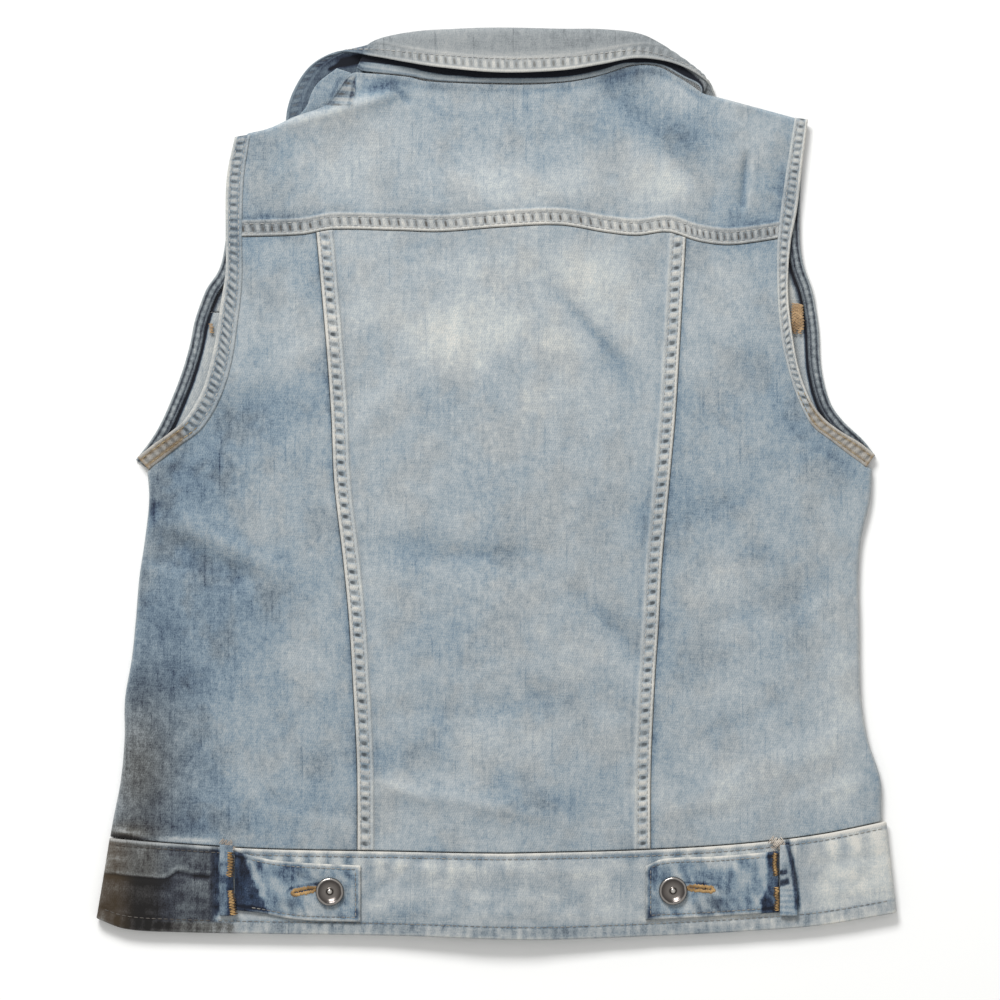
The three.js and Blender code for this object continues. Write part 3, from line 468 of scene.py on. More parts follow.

# %% [markdown]
# ## Wash and painted shade map
#
# Stone-washed denim is palest where it stood proud in the drum and darkest in its hollows, under the
# arms and at the hem. The map is a base tone for each piece with soft oval patches added:
# place, half-width, half-height, turn in degrees, and how much lighter or darker.
# The map also holds painted light: crease hollows are darker and ridges paler, partly wear and partly painted
# shade and highlight, and some patches are painted shadow.

# %% Faded and dark patches
# the first patch is painted shade north of the ridge below the collar, partly wash, and the second a painted
# shadow under the fold above the waistband's left corner
PATCHES = [
    (-69, 237.5, 14, 4.6, 6, -0.30), (-222, -211.5, 18, 2.4, -4, -0.40),
    (-25, 86, 26, 20, 0, 0.24), (8, 100, 20, 14, 0, 0.12), (56, 118, 26, 20, -20, 0.19),
    (0, 176, 44, 17, 0, 0.12), (46, 186, 30, 16, 0, 0.10), (-96, 190, 34, 20, 15, 0.10),
    (-222, -203, 16, 9, 0, -0.12), (96, 178, 30, 18, 0, 0.12), (-72, 50, 26, 26, 0, 0.08),
    (-112, -102, 24, 24, 0, 0.12), (142, -68, 30, 24, 0, 0.18), (4, -154, 34, 13, 0, 0.12),
    (140, 112, 20, 34, 0, 0.10), (-150, 100, 12, 34, 0, 0.10), (210, -132, 14, 44, 0, 0.24),
    (0, 4, 40, 20, 0, -0.05), (-20, 130, 70, 12, 0, 0.06), (150, 210, 26, 16, -15, 0.12),
    (-66, -150, 20, 30, 0, 0.06), (168, -176, 34, 26, 0, 0.11), (30, 50, 40, 20, 0, 0.04),
    (-178, 22, 34, 26, 20, -0.02), (-134, 40, 40, 18, 10, -0.12), (-168, -46, 34, 9, -24, -0.14),
    (-200, -20, 12, 22, 0, -0.06), (-204, -118, 22, 20, 0, -0.08), (-212, -170, 20, 44, 0, -0.18),
    (-176, -166, 26, 40, 0, -0.12), (-150, -196, 40, 14, 0, -0.10), (118, -10, 28, 20, 0, -0.08),
    (178, 34, 34, 26, -30, -0.12), (204, 14, 20, 24, 0, -0.12), (36, -130, 32, 14, 0, -0.06),
    (-40, -138, 40, 10, 0, -0.08), (-16, -42, 40, 7, -6, -0.04), (74, -82, 18, 10, -40, -0.10),
    (28, -192, 32, 9, 0, -0.10), (122, -118, 14, 14, 0, -0.10), (178, 176, 14, 24, 0, -0.16),
    (140, 146, 30, 6, 0, -0.16), (-138, 152, 22, 7, 0, -0.16), (84, 232, 26, 10, -50, -0.14),
    (116, 196, 22, 8, -60, -0.16), (-70, 230, 22, 5, 10, -0.16), (60, 205, 40, 12, 0, -0.05),
    (60, 90, 26, 4, -52, -0.14), (-56, -190, 26, 6, 0, -0.06), (200, -60, 14, 40, 0, 0.04),
    (-38, -94, 26, 26, 0, -0.10), (-158, -82, 30, 24, 0, -0.18), (14, 134, 40, 14, 0, 0.08),
    (-206, -14, 3, 6, 0, -0.20), (-212, -52, 3, 7, 0, -0.20), (8, -186, 60, 12, 0, -0.06),
    (-126, 184, 24, 24, 0, -0.08), (160, -150, 50, 30, 0, 0.07), (84, 246, 20, 9, 4, -0.26),
    (124, 211, 22, 11, -10, -0.22), (114, 184, 24, 13, -20, 0.17), (29, 191, 12, 8, 0, -0.13),
    (-122, 157, 30, 7, 2, -0.15), (-62, 160, 26, 6, 0, -0.09), (152, 157, 18, 7, -4, -0.15),
    (-149, 137, 11, 9, 0, -0.10), (-82, 101, 32, 12, 4, 0.16), (-12, 106, 40, 13, 0, 0.08),
    (113, 116, 15, 34, 4, 0.14), (35, 82, 15, 10, 20, 0.13), (-145, 74, 9, 22, -10, -0.09),
    (-38, 47, 34, 26, 10, -0.12), (-172, -2, 28, 20, 30, -0.18), (203, -12, 24, 32, 10, 0.17),
    (-201, -82, 15, 26, 8, -0.18), (-174, -121, 26, 15, -10, -0.15), (-146, -60, 12, 9, 0, 0.12),
    (89, -22, 8, 17, 0, -0.15), (-55, -40, 16, 12, 0, -0.11), (144, -79, 22, 9, 12, -0.15),
    (161, -42, 14, 9, -20, -0.14), (-54, -158, 36, 14, 6, -0.23), (137, -124, 28, 15, 10, 0.11),
    (206, -188, 14, 18, 0, 0.11), (91, -186, 12, 11, 0, 0.11), (-178, -206, 30, 8, 3, -0.20),
    (-37, -222, 14, 5, 0, -0.18), (92, -223, 26, 6, 0, -0.18), (-56, -259, 28, 7, 4, -0.17),
    (132, -260, 44, 6, -2, 0.24), (146, -258, 30, 5, 3, 0.10), (-152, -221, 18, 7, 0, -0.14),
    (-194, 9, 12, 8, 25, -0.15), (-88, -205, 9, 8, 0, 0.10), (-70, -168, 8, 9, 0, -0.12),
    (-38, -187, 10, 8, 0, -0.13), (212, -151, 10, 9, 0, -0.12), (144, -42, 9, 8, 0, -0.10),
]


def wash_map(x, y, base):
    """How washed out the cloth is at a place, around a piece's own tone, with painted shade in crease hollows
    and in some patches.
    """
    tone = base + 0.05 * ripple(x, y, 46, 11) + 0.05 * ripple(x, y, 19, 12)
    # ridges paler and hollows darker: worn ridges together with painted shade in the hollows
    tone = tone + 0.13 * fold_height(CREASES, x, y) + 0.03 * fold_height(FOLDS, x, y)
    for *patch, change in PATCHES:
        tone = tone + change * oval(x, y, *patch)
    return tone


print("patches", len(PATCHES))

# %% [markdown]
# ## Colour and node helpers
#
# Colours are read off the photograph as sRGB hex values and turned into the linear light that
# Blender works in. One helper adds a node of any kind, sets it up and links its inputs.

# %% Colour and nodes


def linear(hex_colour):
    """Linear RGBA of an sRGB hex colour."""
    channels = [int(hex_colour[k:k + 2], 16) / 255 for k in (1, 3, 5)]
    return (*[c / 12.92 if c <= 0.04045 else ((c + 0.055) / 1.055) ** 2.4 for c in channels], 1.0)


def add(tree, kind, inputs=(), stops=None, out=0, **settings):
    """Adds a shader node with its settings and its inputs, by name or in order; returns one output."""
    node = tree.nodes.new("ShaderNode" + kind)
    for key, value in settings.items():
        setattr(node, key, value)
    for key, value in inputs.items() if isinstance(inputs, dict) else enumerate(inputs):
        if isinstance(value, bpy.types.NodeSocket):
            tree.links.new(value, node.inputs[key])
        else:
            node.inputs[key].default_value = value
    if stops:
        elements = node.color_ramp.elements
        while len(elements) < len(stops):
            elements.new(0.5)
        for element, (place, colour) in zip(elements, stops):
            element.position = place
            element.color = linear(colour)
    return node.outputs[out] if node.outputs else node


def new_material(name):
    """Empty material and its node tree."""
    material = bpy.data.materials.new(name)
    material.use_nodes = True
    tree = material.node_tree
    tree.nodes.clear()
    return material, tree


# %% [markdown]
# ## Denim
#
# Denim is an indigo warp over a white weft. Washing takes the indigo off the high threads first, so
# what the eye sees is not one blue but pale and blue threads side by side: fine vertical streaks
# from uneven warp yarns, a salt-and-pepper grain, larger clouds, and near-white rubbed edges. The
# twill line is 0.6 mm on the real cloth, finer than a pixel of the picture, so it is drawn at 1.2 mm
# and faint. All of these shift one number, the wash with its painted shade, and a ramp turns it into
# colour. On the seam bands, dark bars in the pucker hollows are painted shade together with the
# indigo kept there, and pale beads on the crests are wear with a painted highlight.

# %% Denim material
LIGHT_WASH = [
    (0.00, "#121825"), (0.12, "#2c3b52"), (0.26, "#5b6d7e"), (0.42, "#7b8c99"), (0.56, "#939ea5"),
    (0.70, "#a6adb1"), (0.85, "#b9bebd"), (1.00, "#cfcec8"),
]
GREY_WASH = [
    (0.00, "#1a1816"), (0.14, "#383532"), (0.32, "#5f5e5a"), (0.52, "#8b8d8d"), (0.76, "#a9a9a6"),
    (1.00, "#cbc7bf"),
]
OCHRE_STAIN = "#a08358"
# patterns of the yarns: cells for each mm across, along and through the cloth, and their detail
PATTERNS = {
    "slub": ((0.62, 0.05, 0.3), 3.0), "warp": ((1.4, 0.3, 0.5), 2.0), "weft": ((0.22, 1.3, 0.5), 2.0),
    "cloud": ((0.07, 0.055, 0.07), 4.0), "mottle": ((0.26, 0.22, 0.3), 3.0),
    "speck": ((1.15, 1.0, 1.1), 2.0), "dark_yarn": ((0.8, 0.028, 0.3), 1.0),
    "uneven": ((0.13, 0.13, 0.13), 2.0), "warmth": ((0.045, 0.04, 0.05), 3.0),
}
# how far each pattern shifts the wash
GRAINS = {
    "slub": 0.22, "warp": 0.22, "weft": 0.20, "cloud": 0.30, "mottle": 0.36, "speck": 0.42, "twill": 0.03,
}
TWILL_ANGLE = math.radians(28)
# zones across a seam, mm from its rim: each rises between its first two places, falls between its last
SEAM_ZONES = {"last_rim": (7.0, 8.8, 9.0, 10.6), "inside": (1.6, 3.2, 6.2, 8.2), "core": (1.8, 3.6, 5.0, 7.6)}
EASED = {"interpolation_type": "SMOOTHSTEP"}
TIMES, PLUS, MINUS, MOST = ({"operation": name} for name in ("MULTIPLY", "ADD", "SUBTRACT", "MAXIMUM"))


def denim(name, bars_from=0.1, bars_to=0.8, bar_colour="#3d4246", bar_mix=0.92, bar_bulge=0.55, grain=1.0):
    """Washed denim. Bars are the dark pucker hollows along a seam, painted shade with the indigo kept there,
    beads their pale crests with a painted highlight, and grain is how lively its yarns look.
    """
    material, tree = new_material(name)
    make = partial(add, tree)
    place = make("TexCoord", out=3)
    wash = make("Attribute", attribute_name="wash", out=2)
    tint = make("SeparateXYZ", [make("Attribute", attribute_name="tint", out=1)])
    grey, ochre, rub = tint.node.outputs
    seam = make("SeparateXYZ", [make("Attribute", attribute_name="seam", out=1)])
    across, phase, shown = seam.node.outputs

    pattern = {}
    for label, (per_mm, detail) in PATTERNS.items():
        stretched = make("Mapping", {"Vector": place, "Scale": tuple(k / MM for k in per_mm)})
        noise = {"Vector": stretched, "Scale": 1.0, "Detail": detail, "Roughness": 0.6}
        pattern[label] = make("TexNoise", noise)
    turned_place = make("Mapping", {"Vector": place, "Rotation": (0, 0, TWILL_ANGLE), "Scale": (1 / MM,) * 3})
    pattern["twill"] = make(
        "TexWave", {"Vector": turned_place, "Scale": 0.26, "Distortion": 1.2, "Detail": 1.0},
        wave_type="BANDS", bands_direction="X",
    )
    lively = make("MapRange", [wash, -0.1, 0.42, 0.35 * grain, grain], **EASED)
    tone = wash
    for label, weight in GRAINS.items():
        swing = make("Math", [pattern[label], 0.5], **MINUS)
        swing = make("Math", [swing, make("Math", [lively, weight], **TIMES)], **TIMES)
        tone = make("Math", [tone, swing], **PLUS)
    dark_yarn = make("MapRange", [pattern["dark_yarn"], 0.64, 0.76], **EASED)
    tone = make("Math", [tone, make("Math", [dark_yarn, 0.10], **TIMES)], **MINUS)

    zone = {}
    for label, (rise_from, rise_to, fall_from, fall_to) in SEAM_ZONES.items():
        rising = make("MapRange", [across, rise_from, rise_to], **EASED)
        falling = make("MapRange", [across, fall_from, fall_to, 1.0, 0.0], **EASED)
        zone[label] = make("Math", [rising, falling], **TIMES)
    first_rim = make("MapRange", [across, 1.4, 2.2, 1.0, 0.0], **EASED)
    rims = make("Math", [first_rim, make("Math", [zone["last_rim"], 0.5], **TIMES)], **PLUS)
    worn = make("Math", [make("Math", [rims, shown], **TIMES), rub], **MOST)
    # bars: painted shade in the pucker hollows, with the indigo and thread that stay dark there; beads: the
    # crests, faded by wear and with a painted highlight
    off_centre = make("Math", [make("Math", [across, 4.9], **MINUS), 0.36], **TIMES)
    bulge = make("Math", [make("Math", [off_centre, off_centre], **TIMES), bar_bulge], **TIMES)
    wave = make("Math", [phase], operation="COSINE")
    hollow = make("MapRange", [make("Math", [wave, bulge], **MINUS), bars_from, bars_to], **EASED)
    bars = make("Math", [hollow, make("Math", [zone["core"], shown], **TIMES)], **TIMES)
    bars = make("Math", [bars, make("MapRange", [pattern["uneven"], 0.32, 0.6, 0.4, 1.0], **EASED)], **TIMES)
    beads = make("MapRange", [wave, 0.1, -0.8], **EASED)
    beads = make("Math", [beads, make("Math", [zone["inside"], shown], **TIMES)], **TIMES)
    tone = make("Math", [tone, make("Math", [worn, 0.28], **TIMES)], **PLUS)
    tone = make("Math", [tone, make("Math", [beads, 0.21], **TIMES)], **PLUS)

    warmth = make("MapRange", [pattern["warmth"], 0.42, 0.66, 0.0, 0.34], **EASED)
    bare = make("Math", [make("Math", [worn, beads], **MOST), 0.7], **TIMES)
    greyed = make("Math", [grey, make("Math", [warmth, bare], **MOST)], **MOST)
    blue, dusty = (make("ValToRGB", [tone], stops=ramp) for ramp in (LIGHT_WASH, GREY_WASH))
    colour = make("MixRGB", [greyed, blue, dusty])
    colour = make("MixRGB", [make("Math", [ochre, 0.75], **TIMES), colour, linear(OCHRE_STAIN)])
    colour = make("MixRGB", [make("Math", [bars, bar_mix], **TIMES), colour, linear(bar_colour)])

    yarns = make("Math", [make("Math", [pattern["warp"], pattern["weft"]], **PLUS), 0.6], **TIMES)
    relief = make("Math", [make("Math", [pattern["twill"], 0.35], **TIMES), yarns], **PLUS)
    relief = make("Math", [relief, make("Math", [pattern["speck"], 0.9], **TIMES)], **PLUS)
    bump = make("Bump", {"Height": relief, "Strength": 0.5, "Distance": 0.0004})
    shader = make("BsdfPrincipled", {
        "Base Color": colour, "Roughness": 0.93, "Normal": bump,
        "Sheen Weight": 0.1, "Sheen Roughness": 0.6, "Specular IOR Level": 0.2,
    })
    make("OutputMaterial", {"Surface": shader})
    return material


body_denim = denim("light_wash_denim")
yoke_denim = denim("sun_faded_yoke_denim", 0.55, 0.95, "#4d4843", bar_mix=0.9, bar_bulge=0.12)
collar_denim = denim("greyed_collar_denim", 0.3, 1.0, "#64625c", bar_mix=0.7, bar_bulge=0.2, grain=0.6)
print("denim ready")

# %% [markdown]
# ## Thread
#
# The sewing thread is cotton-wrapped polyester. Washing left most of it a dusty grey, while the
# bindings under the arms, the buttonholes and the bar tacks kept their ochre. Each stitch is a small
# rounded capsule that dips into the cloth at both ends, and all stitches of a thread are one mesh.

# %% Thread materials and the stitch maker


def thread(name, dark, light):
    """Twisted thread that is unevenly worn between two colours."""
    material, tree = new_material(name)
    place = add(tree, "TexCoord", out=3)
    patches = add(tree, "TexNoise", {"Vector": place, "Scale": 180.0, "Detail": 3.0})
    colour = add(tree, "ValToRGB", [patches], stops=[(0.35, dark), (0.65, light)])
    twist = {"Vector": place, "Scale": 900.0, "Distortion": 2.0}
    twist = add(tree, "TexWave", twist, bands_direction="DIAGONAL")
    bump = add(tree, "Bump", {"Height": twist, "Strength": 0.4, "Distance": 0.0001})
    shader = {"Base Color": colour, "Roughness": 0.7, "Normal": bump, "Sheen Weight": 0.1}
    shader = add(tree, "BsdfPrincipled", shader)
    add(tree, "OutputMaterial", {"Surface": shader})
    return material


# each thread's dark and light side
THREADS = {
    "faded": ("faded_polyester_thread", "#5f5f60", "#96938c"),
    "rubbed": ("rubbed_polyester_thread", "#84878a", "#b6b4ae"),
    "dusty": ("dusty_ochre_thread", "#6f614b", "#ab9873"),
    "ochre": ("ochre_polyester_thread", "#80623a", "#c6a16a"),
    "greyed_lower_left": ("dark_grey_polyester_thread", "#3a3633", "#5b5650"),
    # the shaded thread is painted shadow: laid wider under the bar tacks to darken their sides
    "shaded": ("shaded_ochre_thread", "#33281a", "#5e4728"),
    "overlock": ("overlock_thread", "#84694a", "#c0a078"),
    "knot": ("frayed_knot_thread", "#978b7f", "#cfc5b8"),
}
threads = {kind: thread(*look) for kind, look in THREADS.items()}
sewn = {kind: ([], []) for kind in THREADS}
# rings of a stitch: share of its length, share of its radius, and lift in diameters
STITCH_RINGS = [
    (0.0, 0.35, -0.28), (0.14, 0.85, 0.05), (0.5, 1.0, 0.16), (0.86, 0.85, 0.05), (1.0, 0.35, -0.28),
]
STITCH_SIDES = 6


def stitches(name, kind, radius):
    """One mesh of all the stitches of a kind, each a capsule that dips into the cloth at both ends."""
    starts, ends = (np.concatenate(part) for part in sewn[kind])
    run = ends - starts
    length = np.linalg.norm(run, axis=1)[:, None]
    forward = run / np.maximum(length, 1e-6)
    sideways = np.cross(forward, np.broadcast_to((0, 0, 1), forward.shape))
    sideways /= np.maximum(np.linalg.norm(sideways, axis=1)[:, None], 1e-6)
    upward = np.cross(sideways, forward)
    rings = []
    for share, fat, lift in STITCH_RINGS:
        centre = starts + run * share + upward * lift * radius * 2
        for k in range(STITCH_SIDES):
            angle = 2 * math.pi * k / STITCH_SIDES
            rings.append(centre + (sideways * math.cos(angle) + upward * math.sin(angle)) * radius * fat)
    points = np.stack(rings, 1)
    count = len(STITCH_RINGS) * STITCH_SIDES
    pattern = []
    for ring in range(len(STITCH_RINGS) - 1):
        for k in range(STITCH_SIDES):
            a, b = ring * STITCH_SIDES + k, ring * STITCH_SIDES + (k + 1) % STITCH_SIDES
            pattern.append((a, a + STITCH_SIDES, b + STITCH_SIDES, b))
    base = np.arange(len(starts))[:, None, None] * count
    quads = (np.array(pattern)[None] + base).reshape(-1, 4).tolist()
    near = (np.arange(STITCH_SIDES)[None] + base[:, 0]).tolist()
    far = (np.arange(count - 1, count - 1 - STITCH_SIDES, -1)[None] + base[:, 0]).tolist()
    obj = mesh_object(name, points.reshape(-1, 3), quads + near + far)
    obj.data.materials.append(threads[kind])
    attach(obj, "root")
    print(kind, "stitches", len(starts))


def row_of_stitches(path, length=2.6, pitch=3.3, lift=0.05):
    """Starts and ends of running stitches along a path on the cloth's surface."""
    along = lengths_along(path)
    first = np.arange(0.6, along[-1] - length, pitch)
    place = lambda s: np.stack([np.interp(s, along, path[:, k]) for k in range(3)], -1) + (0, 0, lift)
    return place(first), place(first + length)


def sew(kind, path, **options):
    """Adds a row of running stitches to those of its thread."""
    for part, points in zip(sewn[kind], row_of_stitches(path, **options)):
        part.append(points)


print("thread ready")

# %% [markdown]
# ## Dressing a node
#
# Each shell stands for one node of the construction, whose part it hides. `dress` gives it its
# denim, hangs it under the root and prints its size, for every piece in the same way.

# %% Dress a node


def dress(obj, node, material):
    """Gives a shell its denim, hangs it under the root, hides its node's part and prints its size."""
    obj.data.materials.append(material)
    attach(obj, "root")
    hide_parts(node)
    size = [round(v / MM, 1) for v in obj.dimensions]
    print(f"{obj.name}: {len(obj.data.polygons)} faces, {size} mm")


# %% [markdown]
# ## Back centre panel
#
# The panel is lapped over its neighbours in two flat-felled seams: 10 mm bands of four layers,
# sewn with two rows of stitches. The layers shrink by different amounts in the wash, and the band
# puckers between its rows. Those puckers are real relief here, made from seam coordinates.

# %% Back centre


def centre_row(x, v):
    """Height of the row at a share v between the waistband and the yoke."""
    return mix(hem["seam"](x) + GAP, yoke_seam(x) - GAP, v)


def centre_edge(hand, offset, v):
    """Where a row meets a long seam, found in a few steps because both lines slope."""
    x = princess[hand](centre_row(0, v)) + offset
    for _ in range(3):
        x = princess[hand](centre_row(x, v)) + offset
    return x


PANEL_TALL = 370
rows = spread(PANEL_TALL, 1.3) / PANEL_TALL
left_edge = centre_edge("left", -FELL / 2, rows)
width = centre_edge("right", FELL / 2, rows) - left_edge
fell_places = np.array([
    0, 0.2, 0.5, 0.9, 1.4, 2, 2.6, 3.4, 4.2, 5, 5.8, 6.6, 7.4, 8, 8.6, 9.1, 9.5, 9.9, 10.4, 11,
])
PAST_FELL = fell_places[-1]
ROWS_OF_STITCHES = (2.3, FELL - 2.3)
inner_places = np.linspace(0, 1, 110)[1:-1]
places = np.concatenate([
    np.broadcast_to(fell_places, (len(rows), len(fell_places))),
    PAST_FELL + (width[:, None] - 2 * PAST_FELL) * inner_places,
    width[:, None] - fell_places[::-1],
], axis=1)
x = left_edge[:, None] + places
y = centre_row(x, rows[:, None])
from_rim = np.minimum(places, width[:, None] - places)
band = smooth((FELL + 0.4 - from_rim) / 0.9)
phase = np.where(x < 5, pucker_phase(from_rim, y, seed=5), pucker_phase(from_rim, -y, seed=7, slant=-0.14))
relief = band * (FELL_RISE + pucker(from_rim, phase))
grid = np.stack([x, y, back_height(x, y)], -1)
seam_strength = np.where(from_rim < FELL + 1, 1.0, 0.0)
# a thin dark line just past the seam band is painted shadow beside it
tone = wash_map(x, y, 0.62) - 0.07 * bell(from_rim, 11.8, 1.4)
panel, surface = wall(
    "back_centre_cloth", grid, CLOTH / 2 + relief, CLOTH / 2, tone,
    seam_layer(from_rim, phase, seam_strength),
)
dress(panel, "back_centre", body_denim)
for hand in SIGN:
    for place in ROWS_OF_STITCHES:
        column = nearest(fell_places, place)
        sew("rubbed", surface[:, column if hand == "left" else -1 - column])

# %% [markdown]
# ## Back side panels
#
# Each side panel runs from its seam to the soft fold at the garment's side, where it curls down to
# meet the front, and it is cut away for the armhole. The rows follow the height, and the outer end
# of each row follows the fold below the arm and the binding above it. The raw edge tucks 1.6 mm into
# the binding, as it does on the real vest, so that no gap opens beside it.

# %% Back side panels
CURL_STEPS = np.linspace(0, 1, 9)[1:]
CURL_ANGLES = CURL_STEPS * math.pi / 2
TUCK = 1.6
SIDE_FOOT, SIDE_TOP = -212, 145.5
EDGE_BLEND = 60  # the rows bend to follow the hem and the yoke over this height
# pale ridges above the waistband at the left
PALE_RIDGES = [(-226, -207.4, -209, -211.4, 1, 1.5), (-203, -212.6, -170, -213.6, 1, 1.3)]


def curl_at(y, tip):
    """1 below the armhole's tip, where the panel curls down at the side, and 0 above it."""
    return smooth((tip + 6 - y) / 10)


def seam_room(y, tip):
    """How far the cloth stays back from the side, to leave room for the other panel's curl."""
    return GAP * 2 + (CLOTH + 2 * GAP) * curl_at(y, tip)


for hand, sign in SIGN.items():
    inner = arm_back[hand]["inner"]
    tip = inner[-1, 1]
    bottom = hem["seam"](side[hand](SIDE_FOOT)) + GAP
    top = SIDE_TOP
    row_y = bottom + spread(top - bottom, 1.6)
    outside = np.where(row_y > tip, x_at_height(inner, row_y), side[hand](row_y) - sign * CLOTH / 2)
    curl = curl_at(row_y, tip)
    outside = outside + sign * np.where(row_y > tip, TUCK * (1 - curl) - seam_room(row_y, tip) * curl, 0)

    def shifted(x, row_y=row_y, bottom=bottom, top=top):
        to_hem = 1 - smooth((row_y - bottom) / EDGE_BLEND)
        to_yoke = smooth((row_y - top + EDGE_BLEND) / EDGE_BLEND)
        room = (hem["seam"](x).T + GAP - bottom) * to_hem + (yoke_seam(x).T - GAP - top) * to_yoke
        return (row_y + room).T

    rim = princess[hand](row_y) + sign * (FELL / 2 + GAP)
    inside = princess[hand](shifted(rim)) + sign * (FELL / 2 + GAP)
    reach = np.abs(outside - inside)[:, None]
    flat = spread(1, 1 / 78, 0.006)[:-3] * (reach - SIDE_RADIUS)
    turn = reach - SIDE_RADIUS * (1 - np.sin(CURL_ANGLES))
    places = np.concatenate([flat, turn], axis=1)
    angle = np.concatenate([np.zeros(flat.shape[1]), CURL_ANGLES])
    x = inside[:, None] + sign * places
    y = shifted(x)
    height = back_height(x, y)
    drop = curl_at(row_y, tip)[:, None] * (1 - np.cos(angle)) * (height - MID_LAYER - GAP / 2)
    grid = np.stack([x, y, height - drop], -1)
    # the dark strip along the long seam is painted shadow beside the centre panel's raised band
    tone = wash_map(x, y, 0.55) - 0.16 * bell(places, 0, 2.2)
    tone = tone - 0.05 * smooth((sign * x - 150) / 60)
    tone = tone + 0.34 * fold_height(PALE_RIDGES, x, y)
    rubbed = 0.5 * smooth((places - reach + 1.6) / 1.6) * curl_at(row_y, tip)[:, None]
    # greyer at the lower left, also over the painted shadow above the waistband's corner
    greyed_lower_left = 0.85 * oval(x, y, -216, -172, 30, 56) + 0.5 * oval(x, y, -226, -210, 26, 8)
    grid, tone, rubbed, greyed_lower_left = facing_up(sign, grid, tone, rubbed, greyed_lower_left)
    panel, surface = wall(
        f"back_side_{hand}_cloth", grid, CLOTH / 2, CLOTH / 2, tone, rub=rubbed, grey=greyed_lower_left
    )
    cut = (0.150, 0.380) if hand == "left" else (0.142, 0.376)
    dress(panel, f"back_side_{hand}", body_denim)

# %% [markdown]
# ## Yoke
#
# The yoke spans both shoulders. Its lower edge is lapped and double-stitched like the long seams,
# its top follows the shoulder folds and the neckline, and its sides meet the armhole bindings. Its
# columns fan out from the seam to the upper outline.

# %% Yoke
outline = line_through(YOKE_TOP, 400)
YOKE_WIDE = 330
columns = spread(YOKE_WIDE, 1.5) / YOKE_WIDE
low_left = x_at_height(arm_back["left"]["inner"], 148) + GAP
low_right = x_at_height(arm_back["right"]["inner"], 149) - GAP
low_x = mix(low_left, low_right, columns)
low_y = yoke_seam(low_x)
peak = at_share(outline, columns)
free = np.clip(peak[:, 2], 0, 1)
room = peak[:, 1] - low_y - SIDE_RADIUS
fell_rows = fell_places[:, None] + 0 * low_x
middle_rows = PAST_FELL + (room - PAST_FELL) * np.linspace(0, 1, 52)[1:, None]
turn_rows = room + (SIDE_RADIUS - (1 - free) * CLOTH / 2) * np.sin(CURL_ANGLES)[:, None]
rises = np.concatenate([fell_rows, middle_rows, turn_rows])
angle = np.concatenate([np.zeros(len(fell_rows) + len(middle_rows)), CURL_ANGLES])[:, None]
y = low_y + rises
share = rises / (room + SIDE_RADIUS)
x = mix(low_x, peak[:, 0], share)
left_end = x_at_height(arm_back["left"]["inner"], y) - TUCK
right_end = x_at_height(arm_back["right"]["inner"], y) + TUCK
x = np.clip(x, left_end, right_end)
x[:, 0], x[:, -1] = left_end[:, 0], right_end[:, -1]
height = back_height(x, y)
drop = (1 - np.cos(angle)) * (1 - free) * (height - MID_LAYER - GAP / 2)
grid = np.stack([x, y, height - drop], -1)
from_rim = np.broadcast_to(rises, x.shape)
band = smooth((FELL + 0.4 - from_rim) / 0.9)
tighter = 0.4 * smooth((x - 105) / 20) * (x - 105)
phase = pucker_phase(from_rim, x + tighter, pitch=5.8, seed=9, slant=0.2)
relief = band * (FELL_RISE + pucker(from_rim, phase, depth=0.8))
strength = np.where(from_rim < FELL + 1, 1.0, 0.0)
# the shoulder seam turns up beside the collar's left end
shoulder_left = -105.5 + (y - 225) * 0.905
shoulder_wide = np.maximum(5, -86 + (y - 230) * 0.14 - shoulder_left)
on_shoulder = smooth((y - 225) / 2) * smooth((246 - y) / 3) * (x < shoulder_left + shoulder_wide * 1.1)
shoulder_across = (x - shoulder_left) / shoulder_wide * 10
phase = np.where(on_shoulder > 0, 2 * math.pi * (y - 240.6) / 6.6 + 0.1 * shoulder_across, phase)
from_rim = np.where(on_shoulder > 0, np.clip(shoulder_across, 2.6, 6.4), from_rim)
strength = np.where(on_shoulder > 0, on_shoulder, strength)
relief = relief + on_shoulder * pucker(shoulder_across, phase, depth=0.8)
to_neck = peak[:, 1] - y
neck_rim = smooth((3.4 - to_neck) / 1.4) * smooth((free - 0.6) / 0.3)
# a thin dark line just above the seam band is painted shadow beside it
tone = wash_map(x, y, 0.60) + 0.06 * band - 0.06 * bell(rises, 11.4, 1.2)
tone = tone - 0.10 * smooth((x - 60) / 120) - 0.07 * smooth((-x - 70) / 80)
# painted shade: the strip below the neckline is darker where the yoke falls away under the collar
tone = tone - 0.17 * smooth((8 - to_neck) / 6) * free
outlines = bell(shoulder_across, 0.7, 1.0) + bell(shoulder_across, 9.2, 0.9)
tone = tone + on_shoulder * (0.16 * bell(shoulder_across, 12, 1.2) - 0.16 - 0.24 * outlines)
panel, surface = wall(
    "back_yoke_cloth", grid, CLOTH / 2 + relief + 0.25 * neck_rim, CLOTH / 2, tone,
    seam_layer(from_rim, phase, strength), 0.3 * neck_rim, 0.7 * band + 0.35 * on_shoulder,
)
dress(panel, "back_yoke", yoke_denim)
for place in ROWS_OF_STITCHES:
    sew("rubbed", surface[nearest(fell_places, place), 1:-1])

# %% [markdown]
# ## Armhole bindings
#
# A strip of doubled denim finishes each armhole. On the back it carries two rows of stitches with
# puckers between them, faded like the seams, and near the underarm the thread stayed ochre. The
# front's binding lies below and shows past the back's edge: its outer 7 mm, since its inner part
# rolls under. Its inner rim is painted dark as the shadow in the gap between it and the front's
# pale inside.

# %% Armhole bindings
UNDERARM = 186
FRONT_BAND_SEEN = 0.72
LEAST_SHEET_WIDTH = 0.010  # metres: a sheet can't be stated narrower

